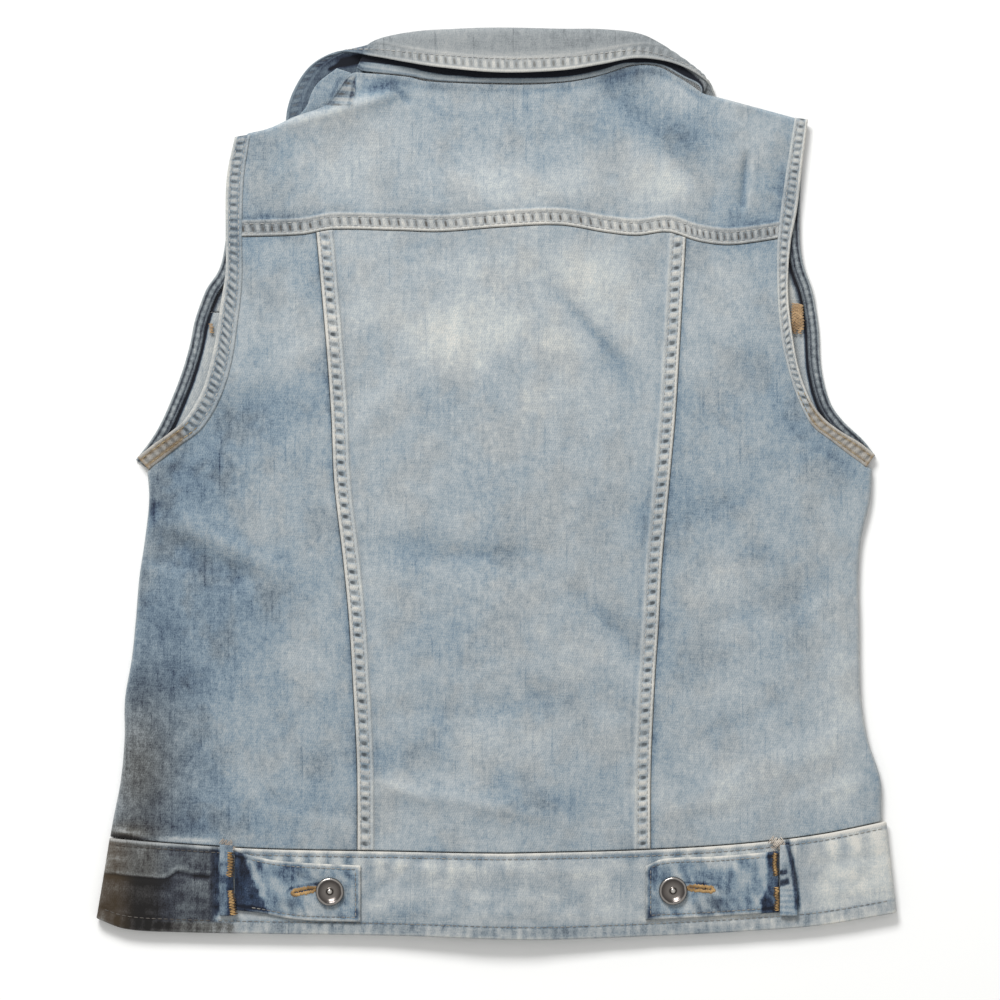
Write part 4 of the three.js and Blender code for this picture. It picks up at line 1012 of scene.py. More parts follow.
for hand, sign in SIGN.items():
    for level in ("back", "front"):
        on_top = level == "back"
        edges = arm_back[hand] if on_top else arm_front[hand]
        outer, inner = edges["edge"], edges["inner"]
        widths = spread(1, 0.09, 0.07)
        seen = 1 if on_top else FRONT_BAND_SEEN
        plan = outer[:, None] + (inner - outer)[:, None] * widths[None, :, None] * seen
        x, y = plan[..., 0], plan[..., 1]
        share = np.linspace(0, 1, len(outer))[:, None]
        along = lengths_along(outer)[:, None] + 0 * widths
        across = widths * ARM_BAND_WIDTH + 0 * along
        phase = pucker_phase(across, along, pitch=4.6, seed=14 + (sign > 0), slant=0.12 * sign)
        rows_of_thread = bell(across, 2.6, 1.1) + bell(across, 7.4, 1.1)
        if on_top:
            drop = 1.4 * smooth((share - 0.9) / 0.1) + 0.5 * smooth((0.045 - share) / 0.045)
            z = back_height(x, y) + (ARM_BAND - CLOTH) / 2 - (1 - widths * 0.7) * drop
            relief = pucker(across, phase, depth=0.75)
            underarm = smooth((np.abs(x) - UNDERARM) / 3)
            ochre = underarm * (0.26 + 0.34 * rows_of_thread + 0.35 * smooth((share - 0.985) / 0.01))
            tone = wash_map(x, y, 0.60 + 0.09 * sign) - 0.04 * underarm
            tone = tone - 0.12 * rows_of_thread * (1 + underarm) + 0.06 * smooth((2.4 - across) / 1.2)
            strength, grey = mix(0.9, 0.45, underarm), mix(0.35, 0.7, underarm)
        else:
            z = ARM_BAND / 2 + front_lift(x, y) + 0 * widths
            # the inner rim is painted dark as the shadow in the gap beside the front's pale inside
            relief = 0.25 * bell(across, 1, 1.2) - 0.2 * rows_of_thread
            tone = wash_map(x, y, 0.50) - 0.38 * rows_of_thread - 0.3 * smooth((across - 8.2) / 1)
            strength, grey, ochre = 0.3, 0.6, 0.0
        grid = np.stack([x, y, z], -1)
        layers = grid, relief, tone, seam_layer(across, phase, strength), ochre + 0 * across
        grid, relief, tone, layer, ochre = facing_up(sign, *layers)
        node = f"armhole_band_{level}_{hand}"
        obj, surface = wall(
            f"{node}_cloth", grid, ARM_BAND / 2 + relief, ARM_BAND / 2, tone, layer, grey=grey, ochre=ochre
        )
        reach = lengths_along(outer)[-1] * MM
        wide = float(np.linalg.norm(inner - outer, axis=1).mean()) * MM * seen
        cut = (max(wide, LEAST_SHEET_WIDTH), reach)
        dress(obj, node, body_denim)
        if on_top:
            last_faded = int(np.argmax(np.abs(outer[:, 0]) > UNDERARM + (outer[:, 1] > 60) * 99))
            for place in (0.25, 0.75):
                column = nearest(widths if sign > 0 else widths[::-1], place)
                sew("rubbed", surface[1:last_faded, column])
                sew("dusty", surface[last_faded:-2, column], length=3.0, pitch=3.6)

# %% [markdown]
# ## Collar
#
# The collar is one strip sewn to the neckline. At the back its stand rises from the seam, rolls
# over and falls outward, with a free edge that shades the neckline; the stand's shade under the fall
# is painted into its colour. At the left it swings under the front, and its leaf shows past the
# shoulder, with painted strokes of shade where it dives under the front. Each row of the table is a
# station round the neck: the neck seam, the roll and the outer edge.

# %% Collar
COLLAR_STEPS = 260
# neck x, y, z, roll x, y, z, edge x, y, z
COLLAR = [
    (-4, 167, 4.6, -4.5, 174, 3, -57, 119, 0.6), (-27.5, 173, 3.4, -24, 182, 1.9, -86, 137, 0.6),
    (-56, 191, 2.6, -49, 199, 1.6, -110, 167, 0.6), (-73, 215, 2.6, -65, 221, 1.6, -124, 200, 0.6),
    (-80.5, 231, 2.7, -72, 237, 1.6, -126, 219, 0.6), (-83, 240.5, 3.1, -76.5, 249, 2.4, -121.5, 236, 0.9),
    (-83.5, 248.6, 4.7, -79, 256, 4.2, -110.5, 251.5, 2.4), (-80, 247.5, 5, -77, 262, 6.2, -94, 258.8, 5.4),
    (-71.5, 246.6, 5.2, -69, 266.5, 7.4, -73, 256, 8.8), (-53.5, 244.8, 5.2, -52, 270, 8, -53.5, 252.4, 10.6),
    (-33.5, 241.6, 5.2, -33.5, 271.6, 8.4, -33.5, 249.3, 11.4),
    (2.5, 240.3, 5.2, 2.5, 272.8, 8.6, 2.5, 246.2, 11.8),
    (38.5, 241, 5.2, 38.5, 272, 8.4, 38.5, 247.4, 11.6), (62, 245, 5.2, 63.5, 271.8, 8.1, 62.5, 251, 11),
    (81.5, 251, 5.2, 86.5, 269, 7.8, 83.5, 254.8, 10.4), (98.5, 250.3, 5.1, 103, 260.5, 7.2, 102, 253, 9.4),
    (112, 243.6, 4.9, 117.5, 250.5, 6.6, 116, 248, 8.2), (121.5, 238.6, 4.6, 125, 244, 5.6, 126.5, 241, 6),
    (122.5, 232.5, 3.2, 126, 238.5, 3.4, 130.5, 236, 2.6), (118, 225.5, 2.6, 119, 233, 1.6, 131.5, 228, 0.6),
    (88, 195.5, 2.6, 81, 203, 1.6, 127, 200, 0.6), (58, 178.8, 2.6, 51, 187, 1.6, 110, 167, 0.6),
    (29.5, 171.3, 2.6, 26, 180, 1.6, 86, 137, 0.6), (3.5, 167.5, 2.6, 4, 174.5, 1.6, 57, 119, 0.6),
]
# how far up the stand the light reaches, in mm from the neck seam
LIT_STAND = curves("x high", [
    (-90, 5.6), (-57, 4.6), (-10, 2.6), (15, 2.6), (62, 2.4), (74, 2.4), (84, 0.8), (98, 0.8), (140, 0.6),
])["high"]
# dark and pale strokes on the leaf: the shadow where it dives under the front, and its creases
LEAF_MARKS = [
    (-100, 248.6, -93, 252.0, -0.42, 1.1), (-92.5, 252.6, -80, 255.6, -0.7, 2.3),
    (-107, 250.4, -91, 257.6, -0.10, 1.8), (-104, 246, -96, 250.6, 0.08, 1.4),
]


def collar_section(station):
    """Seven points across the collar: stand, roll and fall."""
    neck, roll, edge = np.array(station).reshape(3, 3)
    turn = abs(edge[2] - neck[2]) / 2
    on_stand = mix(neck, roll, 1 - min(0.45, turn / np.linalg.norm(roll - neck)))
    on_fall = mix(roll, edge, min(0.45, turn / np.linalg.norm(edge - roll)))
    on_stand[2] = mix(neck[2], roll[2], 0.3)
    on_fall[2] = mix(roll[2], edge[2], 0.75)
    return [neck, mix(neck, on_stand, 0.5), on_stand, roll, on_fall, mix(on_fall, edge, 0.5), edge]


sections = np.array([collar_section(s) for s in COLLAR])
tracks = np.stack([line_through(sections[:, k], COLLAR_STEPS) for k in range(7)], 1)
grid = np.stack([line_through(row, 60) for row in tracks])
ends = spread(1, 1 / 52, 0.02)
grid = np.stack([at_share(row, ends) for row in grid])
along = np.broadcast_to(lengths_along(grid[:, -1])[:, None], grid.shape[:2])
from_edge = np.stack([lengths_along(row[::-1])[::-1] for row in grid])
x, y = grid[..., 0], grid[..., 1]
free = smooth((from_edge - 2) / 6) * smooth((grid[..., 2] - 3) / 2)
grid[..., 2] += 0.25 * ripple(along, from_edge, 16, 21) * free
grid[..., 2] = np.maximum(grid[..., 2], CLOTH / 2)
on_leaf = smooth((-70 - x) / 14)
past_shoulder = smooth((-84 - x) / 5)
from_neck = np.stack([lengths_along(row) for row in grid])
roll_at = np.take_along_axis(from_neck, np.argmax(y, axis=1)[:, None], axis=1)
in_stand = smooth((roll_at - 3 - from_neck) / 3) * (1 - past_shoulder) * smooth((y - 228) / 4)
deep = smooth((from_neck - LIT_STAND(x)) / 1.3)
line_at = mix(3.2, 1.2, smooth((x + 84) / 50))
lines = bell(from_neck, line_at, 0.6) - bell(from_neck, 0.5 * line_at, 0.5)
phase = pucker_phase(from_edge, along, pitch=5.4, seed=23, slant=0.1)
strength = mix(smooth((x + 80) / 40) * smooth((120 - x) / 50), 0.5, on_leaf)
relief = 0.7 * pucker(from_edge, phase, depth=0.6) * smooth((12 - from_edge) / 2)
marks = fold_height(LEAF_MARKS, x, y) * smooth((-62 - x) / 10)
tone = 0.46 + 0.05 * ripple(x, y, 30, 24) - 0.24 * on_leaf + marks
# painted shadow: the stand beyond the light's reach is darkened under the fall, and its seam lines are drawn
# in the lit part
tone = tone - in_stand * mix(-0.06, 0.8, deep) + 0.14 * lines * in_stand * smooth((20 - x) / 40)
tone = tone + 0.10 * bell(x, -18, 24) * (1 - in_stand)
unlit = smooth((0.10 - tone) / 0.1)
tone = tone + 0.12 * bell(x, 20, 60) * smooth((14 - from_edge) / 4)
rubbed = smooth((1.7 - from_edge) / 0.9) * (1 - in_stand)
relief = np.minimum(relief, grid[..., 2] - CLOTH / 2)
obj, surface = wall(
    "collar_cloth", grid, CLOTH / 2 + relief * (1 - on_leaf), CLOTH / 2 + relief * on_leaf, tone,
    seam_layer(from_edge, phase, strength), rubbed * (1 - 0.5 * on_leaf),
    mix(mix(0.75, 0.3, np.maximum(on_leaf, in_stand * (1 - deep))), 0.3, unlit),
)
dress(obj, "collar", collar_denim)
sew("rubbed", surface[2:-2, nearest(from_edge[COLLAR_STEPS // 2], 7.6)])

# %% [markdown]
# ## Waistband
#
# One folded strip goes round the hem, from centre front round both sides and across the back. Its
# upper edge is a rolled, rubbed rim with a row of stitches, and a second row runs above the hem. Its
# left end is darker and browner, and creases run along it; the crease's trough there is painted
# shade.

# %% Waistband
RADIUS = (BACK_LAYER + 0.6 - BAND / 2) / 2
CENTRE = BAND / 2 + RADIUS
BAND_TALL = 51
BACK_FROM, BACK_TO = 100, 402  # the columns that show on the back
# the curved shadow beside the right loop
BESIDE_LOOP = curves("y x", [
    (-213, 174.0), (-220.8, 175.9), (-234.6, 178.6), (-243.6, 179.7), (-253, 180.2),
])["x"]
# the crease that runs along the dark left end
BAND_CREASE = curves("x y", [
    (-242, -232.8), (-231, -233.1), (-219.6, -234.6), (-207.6, -235.5), (-198.6, -235.7), (-194.6, -233.6),
    (-191.4, -231.3), (-188, -231.5), (-180.6, -233.4), (-170, -234.2),
])["y"]


def band_middle(x):
    """Height of the waistband's back part."""
    return BACK_LAYER + 0.6 + PLACKET_RISE * placket_rise(x, 0)


def band_front(x, over):
    """Height of its front part: one end lies over the other."""
    lift = BUTTON_LIFT + (BAND + GAP if over else 0)
    return BAND / 2 + lift * by_centre(x)


def band_line(t):
    """Middle line of the waistband at a share t of its height."""
    left, right = mix(-239.6, -231.6, t) + BAND / 2, mix(240.2, 234, t) - BAND / 2
    front_left = mix(16, left + RADIUS, np.linspace(0, 1, 90))
    turn = np.linspace(0, 1, 12)[1:-1] * math.pi
    back = mix(left + RADIUS, right - RADIUS, np.linspace(0, 1, 300))
    front_right = mix(right - RADIUS, -16, np.linspace(0, 1, 90))
    x = np.concatenate([
        front_left, left + RADIUS - RADIUS * np.sin(turn), back,
        right - RADIUS + RADIUS * np.sin(turn), front_right,
    ])
    z = np.concatenate([
        band_front(front_left, True), CENTRE - RADIUS * np.cos(turn), band_middle(back),
        CENTRE + RADIUS * np.cos(turn), band_front(front_right, False),
    ])
    return np.stack([x, mix(hem["edge"](x), hem["seam"](x) - GAP, t), z], -1)


shares = spread(BAND_TALL, 1.3) / BAND_TALL
grid = np.stack([band_line(t) for t in shares])
x, y = grid[..., 0], grid[..., 1]
on_back = smooth((grid[..., 2] - CENTRE) / RADIUS)
crease = [
    (-226, -234, -182, -236, -0.9, 3.5), (-180, -232, -100, -236, -0.4, 4), (-60, -240, 40, -244, -0.6, 5),
    (-40, -230, 60, -232, 0.5, 4), (120, -240, 170, -238, -0.4, 5), (190, -228, 236, -222, -0.6, 4),
    (-70, -256, 70, -259, 0.5, 4), (196, -246, 236, -240, 0.4, 4), (-74, -246, -46, -226, -0.5, 3),
    (-66, -226, -38, -232, 0.4, 3),
]
slack = 0.22 * ripple(x, y, 15, 31) * smooth((225 - np.abs(x)) / 12)
grid[..., 2] += on_back * (fold_height(crease, x, y) + slack)
past_crease = y - BAND_CREASE(x)
at_end = smooth((-167 - x) / 6)
creased = 0.5 * bell(past_crease, 1.5, 1.3) - 0.9 * bell(past_crease, -1.0, 1.4)
grid[..., 2] += on_back * at_end * creased
from_top = (1 - shares[:, None]) * BAND_TALL + 0 * x
from_hem = shares[:, None] * BAND_TALL + 0 * x
run = lengths_along(grid[0])[None] + 0 * x
rope = np.cos(2 * math.pi * run / 13 + 3.2 * ripple(run, 0 * run, 24, 32))
rope = rope * (0.5 + 0.6 * ripple(run, 0 * run, 37, 33))
hem_rope = np.cos(2 * math.pi * run / 6.1 + 1.6 * ripple(run, 0 * run, 20, 34))
high = bell(from_top, 8, 7.5)
relief = 0.35 * bell(from_top, 1.2, 1.0) - 0.3 * bell(from_top, 3.1, 0.7)
relief += 0.3 * rope * high + 0.12 * ripple(x, y, 9, 35)
relief += 0.25 * bell(from_hem, 1.0, 1.0) - 0.3 * bell(from_hem, 7.5, 0.7)
relief += 0.2 * hem_rope * bell(from_hem, 4.2, 2.4)
tone = wash_map(x, y, 0.66) + 0.33 * (rope + 0.1) * high + 0.09 * ripple(x, y, 7, 36)
tone = tone - 0.12 * smooth((8.5 - from_hem) / 2) + 0.07 * hem_rope * smooth((8 - from_hem) / 2)
tone = tone + 0.10 * ripple(x, y, 4, 38) * smooth((9 - from_hem) / 3)
tone = tone - 0.22 * bell(from_top, 3.2, 0.9) - 0.2 * bell(from_hem, 7.5, 0.8)
above = smooth((past_crease + 0.6) / 1.6)
hem_strip = smooth((7.5 - from_hem) / 2)
# the left end darker and browner; the crease's trough in it is painted shade, with its ridge paler
dark_end_and_crease_shade = 0.085 + 0.16 * above + 0.04 * smooth((-228 - x) / 6) - 0.075 * bell(x, -211, 13) * (1 - above)
dark_end_and_crease_shade = dark_end_and_crease_shade + 0.09 * smooth((x + 199) / 14) * (1 - above) + 0.03 * smooth((x + 187) / 10)
dark_end_and_crease_shade = dark_end_and_crease_shade + 0.10 * ripple(x * 0.3, y, 3.6, 37) + 0.03 * ripple(x, y, 5, 39) + 0.03 * rope * high
dark_end_and_crease_shade = dark_end_and_crease_shade - 0.16 * bell(past_crease, -1.6, 1.6) + 0.12 * bell(past_crease, 1.4, 0.9)
dark_end_and_crease_shade = dark_end_and_crease_shade - 0.12 * bell(from_top, 3.4, 0.8) - 0.10 * bell(from_hem, 8.0, 1.0)
dark_end_and_crease_shade = dark_end_and_crease_shade - hem_strip * (0.05 - 0.09 * smooth((x + 210) / 8)) + 0.08 * hem_rope * hem_strip
dark_end = smooth((mix(-166, -153, hem_strip) - x) / 5)
tone = mix(tone, dark_end_and_crease_shade, dark_end) + 0.22 * smooth((x - 186) / 14) + 0.05 * fold_height(crease[1:], x, y)
above_hem = smooth((from_hem - 8) / 4)
# painted shadow beside both loops, on cloth that also kept its indigo
indigo_and_shadow_tone = 0.05 + 0.06 * ripple(x, y, 3, 54)
indigo_and_shadow_left = smooth((3.8 + 0.5 * ripple(y, 0 * y, 5, 55) - np.abs(x + 168.2)) / 1.6) * above_hem
beside = smooth((2.7 + 0.5 * ripple(y, 0 * y, 6, 56) - np.abs(x - BESIDE_LOOP(y))) / 1.8)
beside = beside * above_hem * smooth((x - 172) / 2)
tone = mix(tone, indigo_and_shadow_tone, 0.95 * np.maximum(indigo_and_shadow_left, beside))
rubbed = 0.9 * smooth((2.1 - from_top) / 0.9) + 0.5 * smooth((1.5 - from_hem) / 0.9)
rubbed = rubbed * (1 + 0.2 * dark_end * (from_top < 10))
greyed_lower_left = 0.66 * smooth((-166 - x) / 6) + 0.34 * smooth((-194 - x) / 16)
obj, surface = wall(
    "waistband_cloth", grid, BAND / 2 + on_back * relief, BAND / 2, tone, rub=rubbed,
    grey=mix(0.15 + 0.3 * smooth((8 - from_hem) / 2), 0.92, np.maximum(greyed_lower_left, dark_end * hem_strip)),
    ochre=0.13 * smooth((-214 - x) / 16),
)
dress(obj, "waistband", body_denim)
first_clean = int(np.argmax((x[0] > -169) & (np.arange(x.shape[1]) > BACK_FROM)))
for place in (2.9, 43.5):
    row = surface[nearest(from_top[:, 0], place)]
    sew("greyed_lower_left", row[BACK_FROM:first_clean], length=2.8, pitch=3.6)
    sew("faded", row[first_clean:BACK_TO], length=2.8, pitch=3.6)

# %% [markdown]
# ## Tabs, loops and buttons
#
# Two adjusting tabs are buttoned onto the waistband. Each comes out from under a short loop that is
# tacked down at both ends, is stitched near its edge, and has a keyhole buttonhole with a 17 mm
# dished shank button. The cloth beside the loops is painted dark: the loops' shadow, on cloth that
# also kept its dark indigo.

# %% Tabs and loops
TAB_TALL = 36
LOOP_TALL, LOOP_FOOT = 42.5, -258.5


def band_top(x):
    """Height of the waistband's upper face on the back."""
    return band_middle(x) + BAND / 2


# spots of tone: mm from the root, y, half-sizes and change
TABS = {
    "left": {
        "outer": -156.5, "inner": -81, "loop": (-165.4, -157.2), "cut": (0.0755, 0.0356),
        "button": (-99.5, -244), "hole": (-122, -244.8, -107.5, -242.4),
        "top": curves("x y", [(-156.5, -220), (-131, -225.5), (-80.5, -228.5)])["y"],
        "low": curves("x y", [(-156.5, -255), (-141, -257), (-118, -261), (-80.5, -262.2)])["y"],
        "tone": 0.42, "spots": [(14, -230, 2.4, 3.5, -0.18)],
    },
    "right": {
        "outer": 169.2, "inner": 89.5, "loop": (170, 180.5), "cut": (0.080, 0.038),
        "button": (106, -243.5), "hole": (130.6, -243, 114.5, -241.6),
        "top": curves("x y", [(89, -229), (100, -224.5), (131, -223), (173.5, -219.5)])["y"],
        "low": curves("x y", [(89, -261), (122.5, -259.5), (177, -256)])["y"],
        "tone": 0.50,
        "spots": [(29, -234, 2.6, 6, -0.16), (14, -231, 2.2, 4, -0.14), (36, -251, 4, 4, -0.14)],
    },
}
for hand, tab in TABS.items():
    on_left = hand == "left"
    low_x, high_x = sorted((tab["outer"], tab["inner"]))
    columns, rows = spread(high_x - low_x, 1.1), spread(1, 0.028, 0.02)
    x = low_x + columns[None] + 0 * rows[:, None]
    y = mix(tab["low"](x), tab["top"](x), rows[:, None])
    from_root = np.abs(x - tab["outer"])
    from_end = np.abs(x - tab["inner"])
    tall = tab["top"](x) - tab["low"](x)
    inset = np.minimum(np.minimum(rows[:, None], 1 - rows[:, None]) * tall, from_end)
    z = band_top(x) + GAP + TAB / 2
    relief = 0.18 * bell(inset, 1.0, 0.8) - 0.2 * bell(inset, 2.5, 0.5)
    relief += 0.12 * ripple(x, y, 7, 41)
    relief += 0.1 * np.cos(2 * math.pi * (x + 2 * ripple(x, y, 12, 42)) / 9)
    # the root kept its indigo, up to a ragged line
    kept_to = 4.5 + 0.44 * (-222.6 - y) if on_left else 6.6 + 3.8 * smooth((-238 - y) / 14)
    ragged = from_root - kept_to + 1.2 * ripple(x, y, 3, 49)
    slanted = x + 0.4 * y
    blots = 0.23 * ripple(slanted / 4.6, y / 8, 1, 43 + (not on_left))
    blots = blots + 0.12 * ripple(slanted / 2.2, y / 4, 1, 48)
    spots = sum(change * oval(from_root, y, *spot) for *spot, change in tab["spots"])
    if on_left:
        spots = spots + 0.14 * bell(from_root - kept_to, 4, 2) * smooth((y + 244) / 6)
    tone = tab["tone"] + blots + spots - 0.42 * smooth((1.3 - ragged) / 2.2)
    if on_left:
        tone = tone - 0.12 * smooth((24 - from_root) / 12)
    tone = np.maximum(tone, 0.07 + 0.06 * ripple(x, y, 3, 58))
    tone = tone - 0.16 * bell(inset, 2.7, 0.8)
    if not on_left:
        tone = tone - 0.13 * smooth((9 - from_end) / 4)
    tone = tone + 0.16 * smooth((from_root - 8) / 4) * smooth((4 - (tab["top"](x) - y)) / 2)
    x0, y0, x1, y1 = tab["hole"]
    hole_y = mix(y0, y1, (x - x0) / (x1 - x0))
    past_ends = np.maximum(np.abs(x - (x0 + x1) / 2) - abs(x1 - x0) / 2, 0)
    to_hole = np.hypot(past_ends, y - hole_y)
    # painted shade along the buttonhole's upper side and in its slit
    tone = tone - 0.30 * bell(to_hole, 3, 0.9) * smooth((y - hole_y + 1) / 2)
    tone = tone - 0.4 * smooth((1 - to_hole) / 0.5)
    rubbed = 0.8 * smooth((1.7 - inset) / 0.8) * smooth((from_root - 6) / 8)
    grid = np.stack([x, y, z], -1)
    obj, surface = wall(f"tab_{hand}_cloth", grid, TAB / 2 + relief, TAB / 2, tone, rub=rubbed)
    dress(obj, f"tab_{hand}", body_denim)
    seen = np.flatnonzero((from_root[0] > 9) & (from_end[0] > 2))
    low_row, high_row = nearest(rows * TAB_TALL, 2.5), nearest((1 - rows) * TAB_TALL, 2.5)
    end_row = surface[low_row:high_row, nearest(from_end[0], 2.6)]
    for row in (surface[low_row, seen], surface[high_row, seen], end_row):
        sew("faded", row, length=2.4, pitch=3.0)

    loop_from, loop_to = tab["loop"]
    loop_wide = loop_to - loop_from
    columns, rows = spread(loop_wide, 0.8), spread(LOOP_TALL, 0.9)
    y = LOOP_FOOT + rows[:, None] + 0 * columns[None]
    right_edge = loop_to if on_left else np.minimum(BESIDE_LOOP(y) + 0.6, loop_to)
    x = loop_from + columns[None] / loop_wide * (right_edge - loop_from) + 0 * y
    hump = 0.5 * np.sin(math.pi * columns / loop_wide)[None] + 0 * rows[:, None]
    z = band_top(x) + GAP + LOOP / 2 + hump + 0.25 * ripple(x, y, 9, 44)
    frayed = ripple(x, y, 2.2, 57)
    tone = 0.56 + 0.10 * ripple(x / 2, y / 6, 1, 45) + 0.10 * smooth((y + 228) / 4)
    # the dark marks on each loop beside its bar tacks are painted shade, and on the right loop the strip
    # along BESIDE_LOOP is painted shadow
    if on_left:
        tone = tone - 0.28 - 0.04 * smooth((-240 - y) / 6)
        marks = smooth((x + 161.4 + 0.4 * frayed) / 1.2) * mix(0.5, 1, smooth((-226 - y) / 6))
        marks = np.maximum(marks, 0.5 * bell(y, -227.6, 0.8))
        off_mark = np.abs(y + 237.2 + 0.3 * (x + 162))
        marks = np.maximum(marks, 0.9 * smooth((3.3 + 0.7 * frayed - off_mark) / 2))
        rim = 0.2 * smooth((0.5 - (x - loop_from) / loop_wide) / 0.2)
    else:
        ridges = np.cos(2 * math.pi * y / 3.4) * smooth((-241 - y) / 2)
        tone = tone - 0.06 * smooth((-240 - y) / 3) + 0.12 * ridges
        slope = 0.2 * (x - 172)
        marks = smooth((2.3 + 0.5 * frayed - np.abs(y + 232.3 - slope)) / 1.6)
        marks = np.maximum(marks, smooth((2.7 + 0.5 * frayed - np.abs(y + 238.6 - slope)) / 1.6))
        marks = marks * smooth(BESIDE_LOOP(y) - 3.2 - x)
        shaded = smooth((2.7 + 0.3 * frayed - np.abs(x - BESIDE_LOOP(y))) / 1.8)
        marks = np.maximum(marks, shaded * smooth((y + 257) / 3))
        rim = 0.0
    tone = mix(tone, 0.07 + 0.07 * frayed, 0.95 * marks)
    grid = np.stack([x, y, z], -1)
    obj, surface = wall(f"tab_loop_{hand}_cloth", grid, LOOP / 2, LOOP / 2, tone, rub=rim)
    cut = (0.0105, 0.0425)
    dress(obj, f"tab_loop_{hand}", body_denim)

# %% [markdown]
# ## Bar tacks and buttonholes
#
# Bar tacks are short rows of dense zigzag that hold the loops down, and a keyhole buttonhole is
# whipped all round with the same ochre thread. A wider zigzag of dark thread under the tacks is
# painted shadow at their sides, and pale frayed knots sit above the loops. The overlocked ends of
# the front yoke seams show in the armholes. All of these are many short stitches laid side by side.

# %% Bar tacks and buttonholes
TACK_RADIUS = 0.34


def zigzag(kind, line, width, pitch, height):
    """Stitches that cross a line back and forth."""
    line = np.asarray(line, float)
    count = int(lengths_along(line)[-1] / pitch)
    centres = at_share(line, np.linspace(0, 1, count))
    run = np.gradient(centres, axis=0)
    out = np.stack([-run[:, 1], run[:, 0]], 1) / np.linalg.norm(run, axis=1)[:, None]
    number, start = np.arange(count), 7 * line[0, 0] + 0 * centres[:, 0]
    wobble = 0.5 * ripple(number, start, 2, 51)[:, None]
    uneven = 1 + 0.22 * ripple(number, start, 1.3, 53)[:, None]
    swing = np.where(number % 2, 1, -1)[:, None] * width / 2 * uneven
    a, b = centres + out * (swing + wobble), centres - out * (swing - wobble) + run * 0.5
    for part, points in zip(sewn[kind], (a, b)):
        part.append(np.column_stack([points, height(points[:, 0])]))


on_tab = lambda px: band_top(px) + GAP + TAB + 0.15
on_loop = lambda px: band_top(px) + GAP + LOOP + 0.3
on_knot = lambda px: band_top(px) + 2.2
on_front = lambda px: 0 * px + CLOTH + LEAF_LIFT + 0.4
# line, width of the ochre thread, width of the dark thread below it that stands for their shadow, height
BAR_TACKS = [
    ([(-159.4, -220.5), (-159.0, -228), (-160.2, -234.4)], 3.4, 4.8, on_loop),
    ([(-159.6, -243.5), (-158.2, -250), (-157.4, -257.5)], 3.2, 5.0, on_loop),
    ([(167.2, -221), (167.0, -228), (167.8, -234)], 1.9, 3.8, on_tab),
    ([(167.6, -241.5), (168.6, -248), (168.4, -255)], 2.2, 4.0, on_tab),
]
for line, width, wide, height in BAR_TACKS:
    zigzag("shaded", line, wide, 0.7, lambda px, height=height: height(px) - 0.25)
    zigzag("ochre", line, width, 0.8, height)
KNOTS = [
    ([(-164.6, -213.4), (-161, -215.6), (-157.4, -218.6)], 4.2),
    ([(-158, -214), (-160.6, -216.5), (-163, -219)], 2.6),
    ([(164.4, -212.4), (168.4, -214.8), (172.6, -217.6)], 5.0),
    ([(171.5, -212.5), (168.5, -215), (166, -218.4)], 3.4),
]
for line, width in KNOTS:
    zigzag("knot", line, width, 0.85, on_knot)
ragged_ends = np.random.default_rng(52).uniform(-1.2, 1.2, (5, 2))
for column, (top, low) in zip((178.2, 179.5, 180.9, 182.2, 183.4), ragged_ends):
    line = [(column, 108 + top), (column + 0.3, 100), (column - 0.2, 91.8 + low)]
    zigzag("overlock", line, 2.3, 0.8, on_front)
zigzag("overlock", [(-171.5, 96), (-170.4, 91)], 2.6, 0.7, on_front)
for hand, tab in TABS.items():
    x0, y0, x1, y1 = tab["hole"]
    ring = []
    for k in range(41):
        angle = math.pi / 2 + 2 * math.pi * k / 40
        share = (1 - math.cos(angle - math.pi / 2)) / 2
        half = 1.35 + 0.7 * smooth((0.3 - share) / 0.2)
        ring.append((mix(x0, x1, share), mix(y0, y1, share) + half * math.cos(angle)))
    zigzag("ochre", ring, 2.3, 0.5, on_tab)
for kind in ("ochre", "shaded", "overlock", "knot"):
    stitches(f"tacks_{kind}", kind, TACK_RADIUS)

# %% [markdown]
# ## Fronts
#
# The fronts lie face down on the table and are mostly hidden: they show in the armholes and from
# below. They are the same cloth, with a yoke seam, a placket down the centre and its buttons.

# %% Fronts, yokes and plackets
UNDER_BAND = 3.2
PLACKET_TALL = 387
NECKLINES = {
    "left": [(-87, 246.5), (-83.5, 236), (-75, 215), (-58, 190), (-30, 171.5), (-17.3, 168)],
    "right": [(116, 222), (110, 214), (98, 200), (78, 184.5), (44, 171.5), (17.3, 168)],
}
SHOULDERS = {
    "left": [(-95.4, 249.2), (-106.2, 241), (-110.8, 234), (-113.6, 226.5), (-121, 219), (-135, 212)],
    "right": [(124, 223), (133, 225.5), (141, 226), (150, 224.5), (164, 220.5)],
}
FRONT_CREASES = [
    (-190, 20, -120, 46, 0.7, 8), (-196, -50, -110, -66, 0.6, 7), (-110, -150, -60, -190, 0.8, 8),
    (-150, -120, -196, -170, 0.6, 6), (-90, 60, -60, -20, 0.6, 8), (-130, 96, -90, 60, 0.5, 6),
    (190, 16, 126, 50, 0.7, 8), (196, -64, 120, -52, 0.6, 7), (96, -196, 160, -160, 0.8, 8),
    (70, -110, 120, -150, 0.6, 7), (80, 70, 64, -20, 0.6, 8), (150, 110, 110, 70, 0.5, 6),
    (-120, 190, -70, 150, 0.5, 6), (140, 190, 80, 140, 0.5, 6),
]
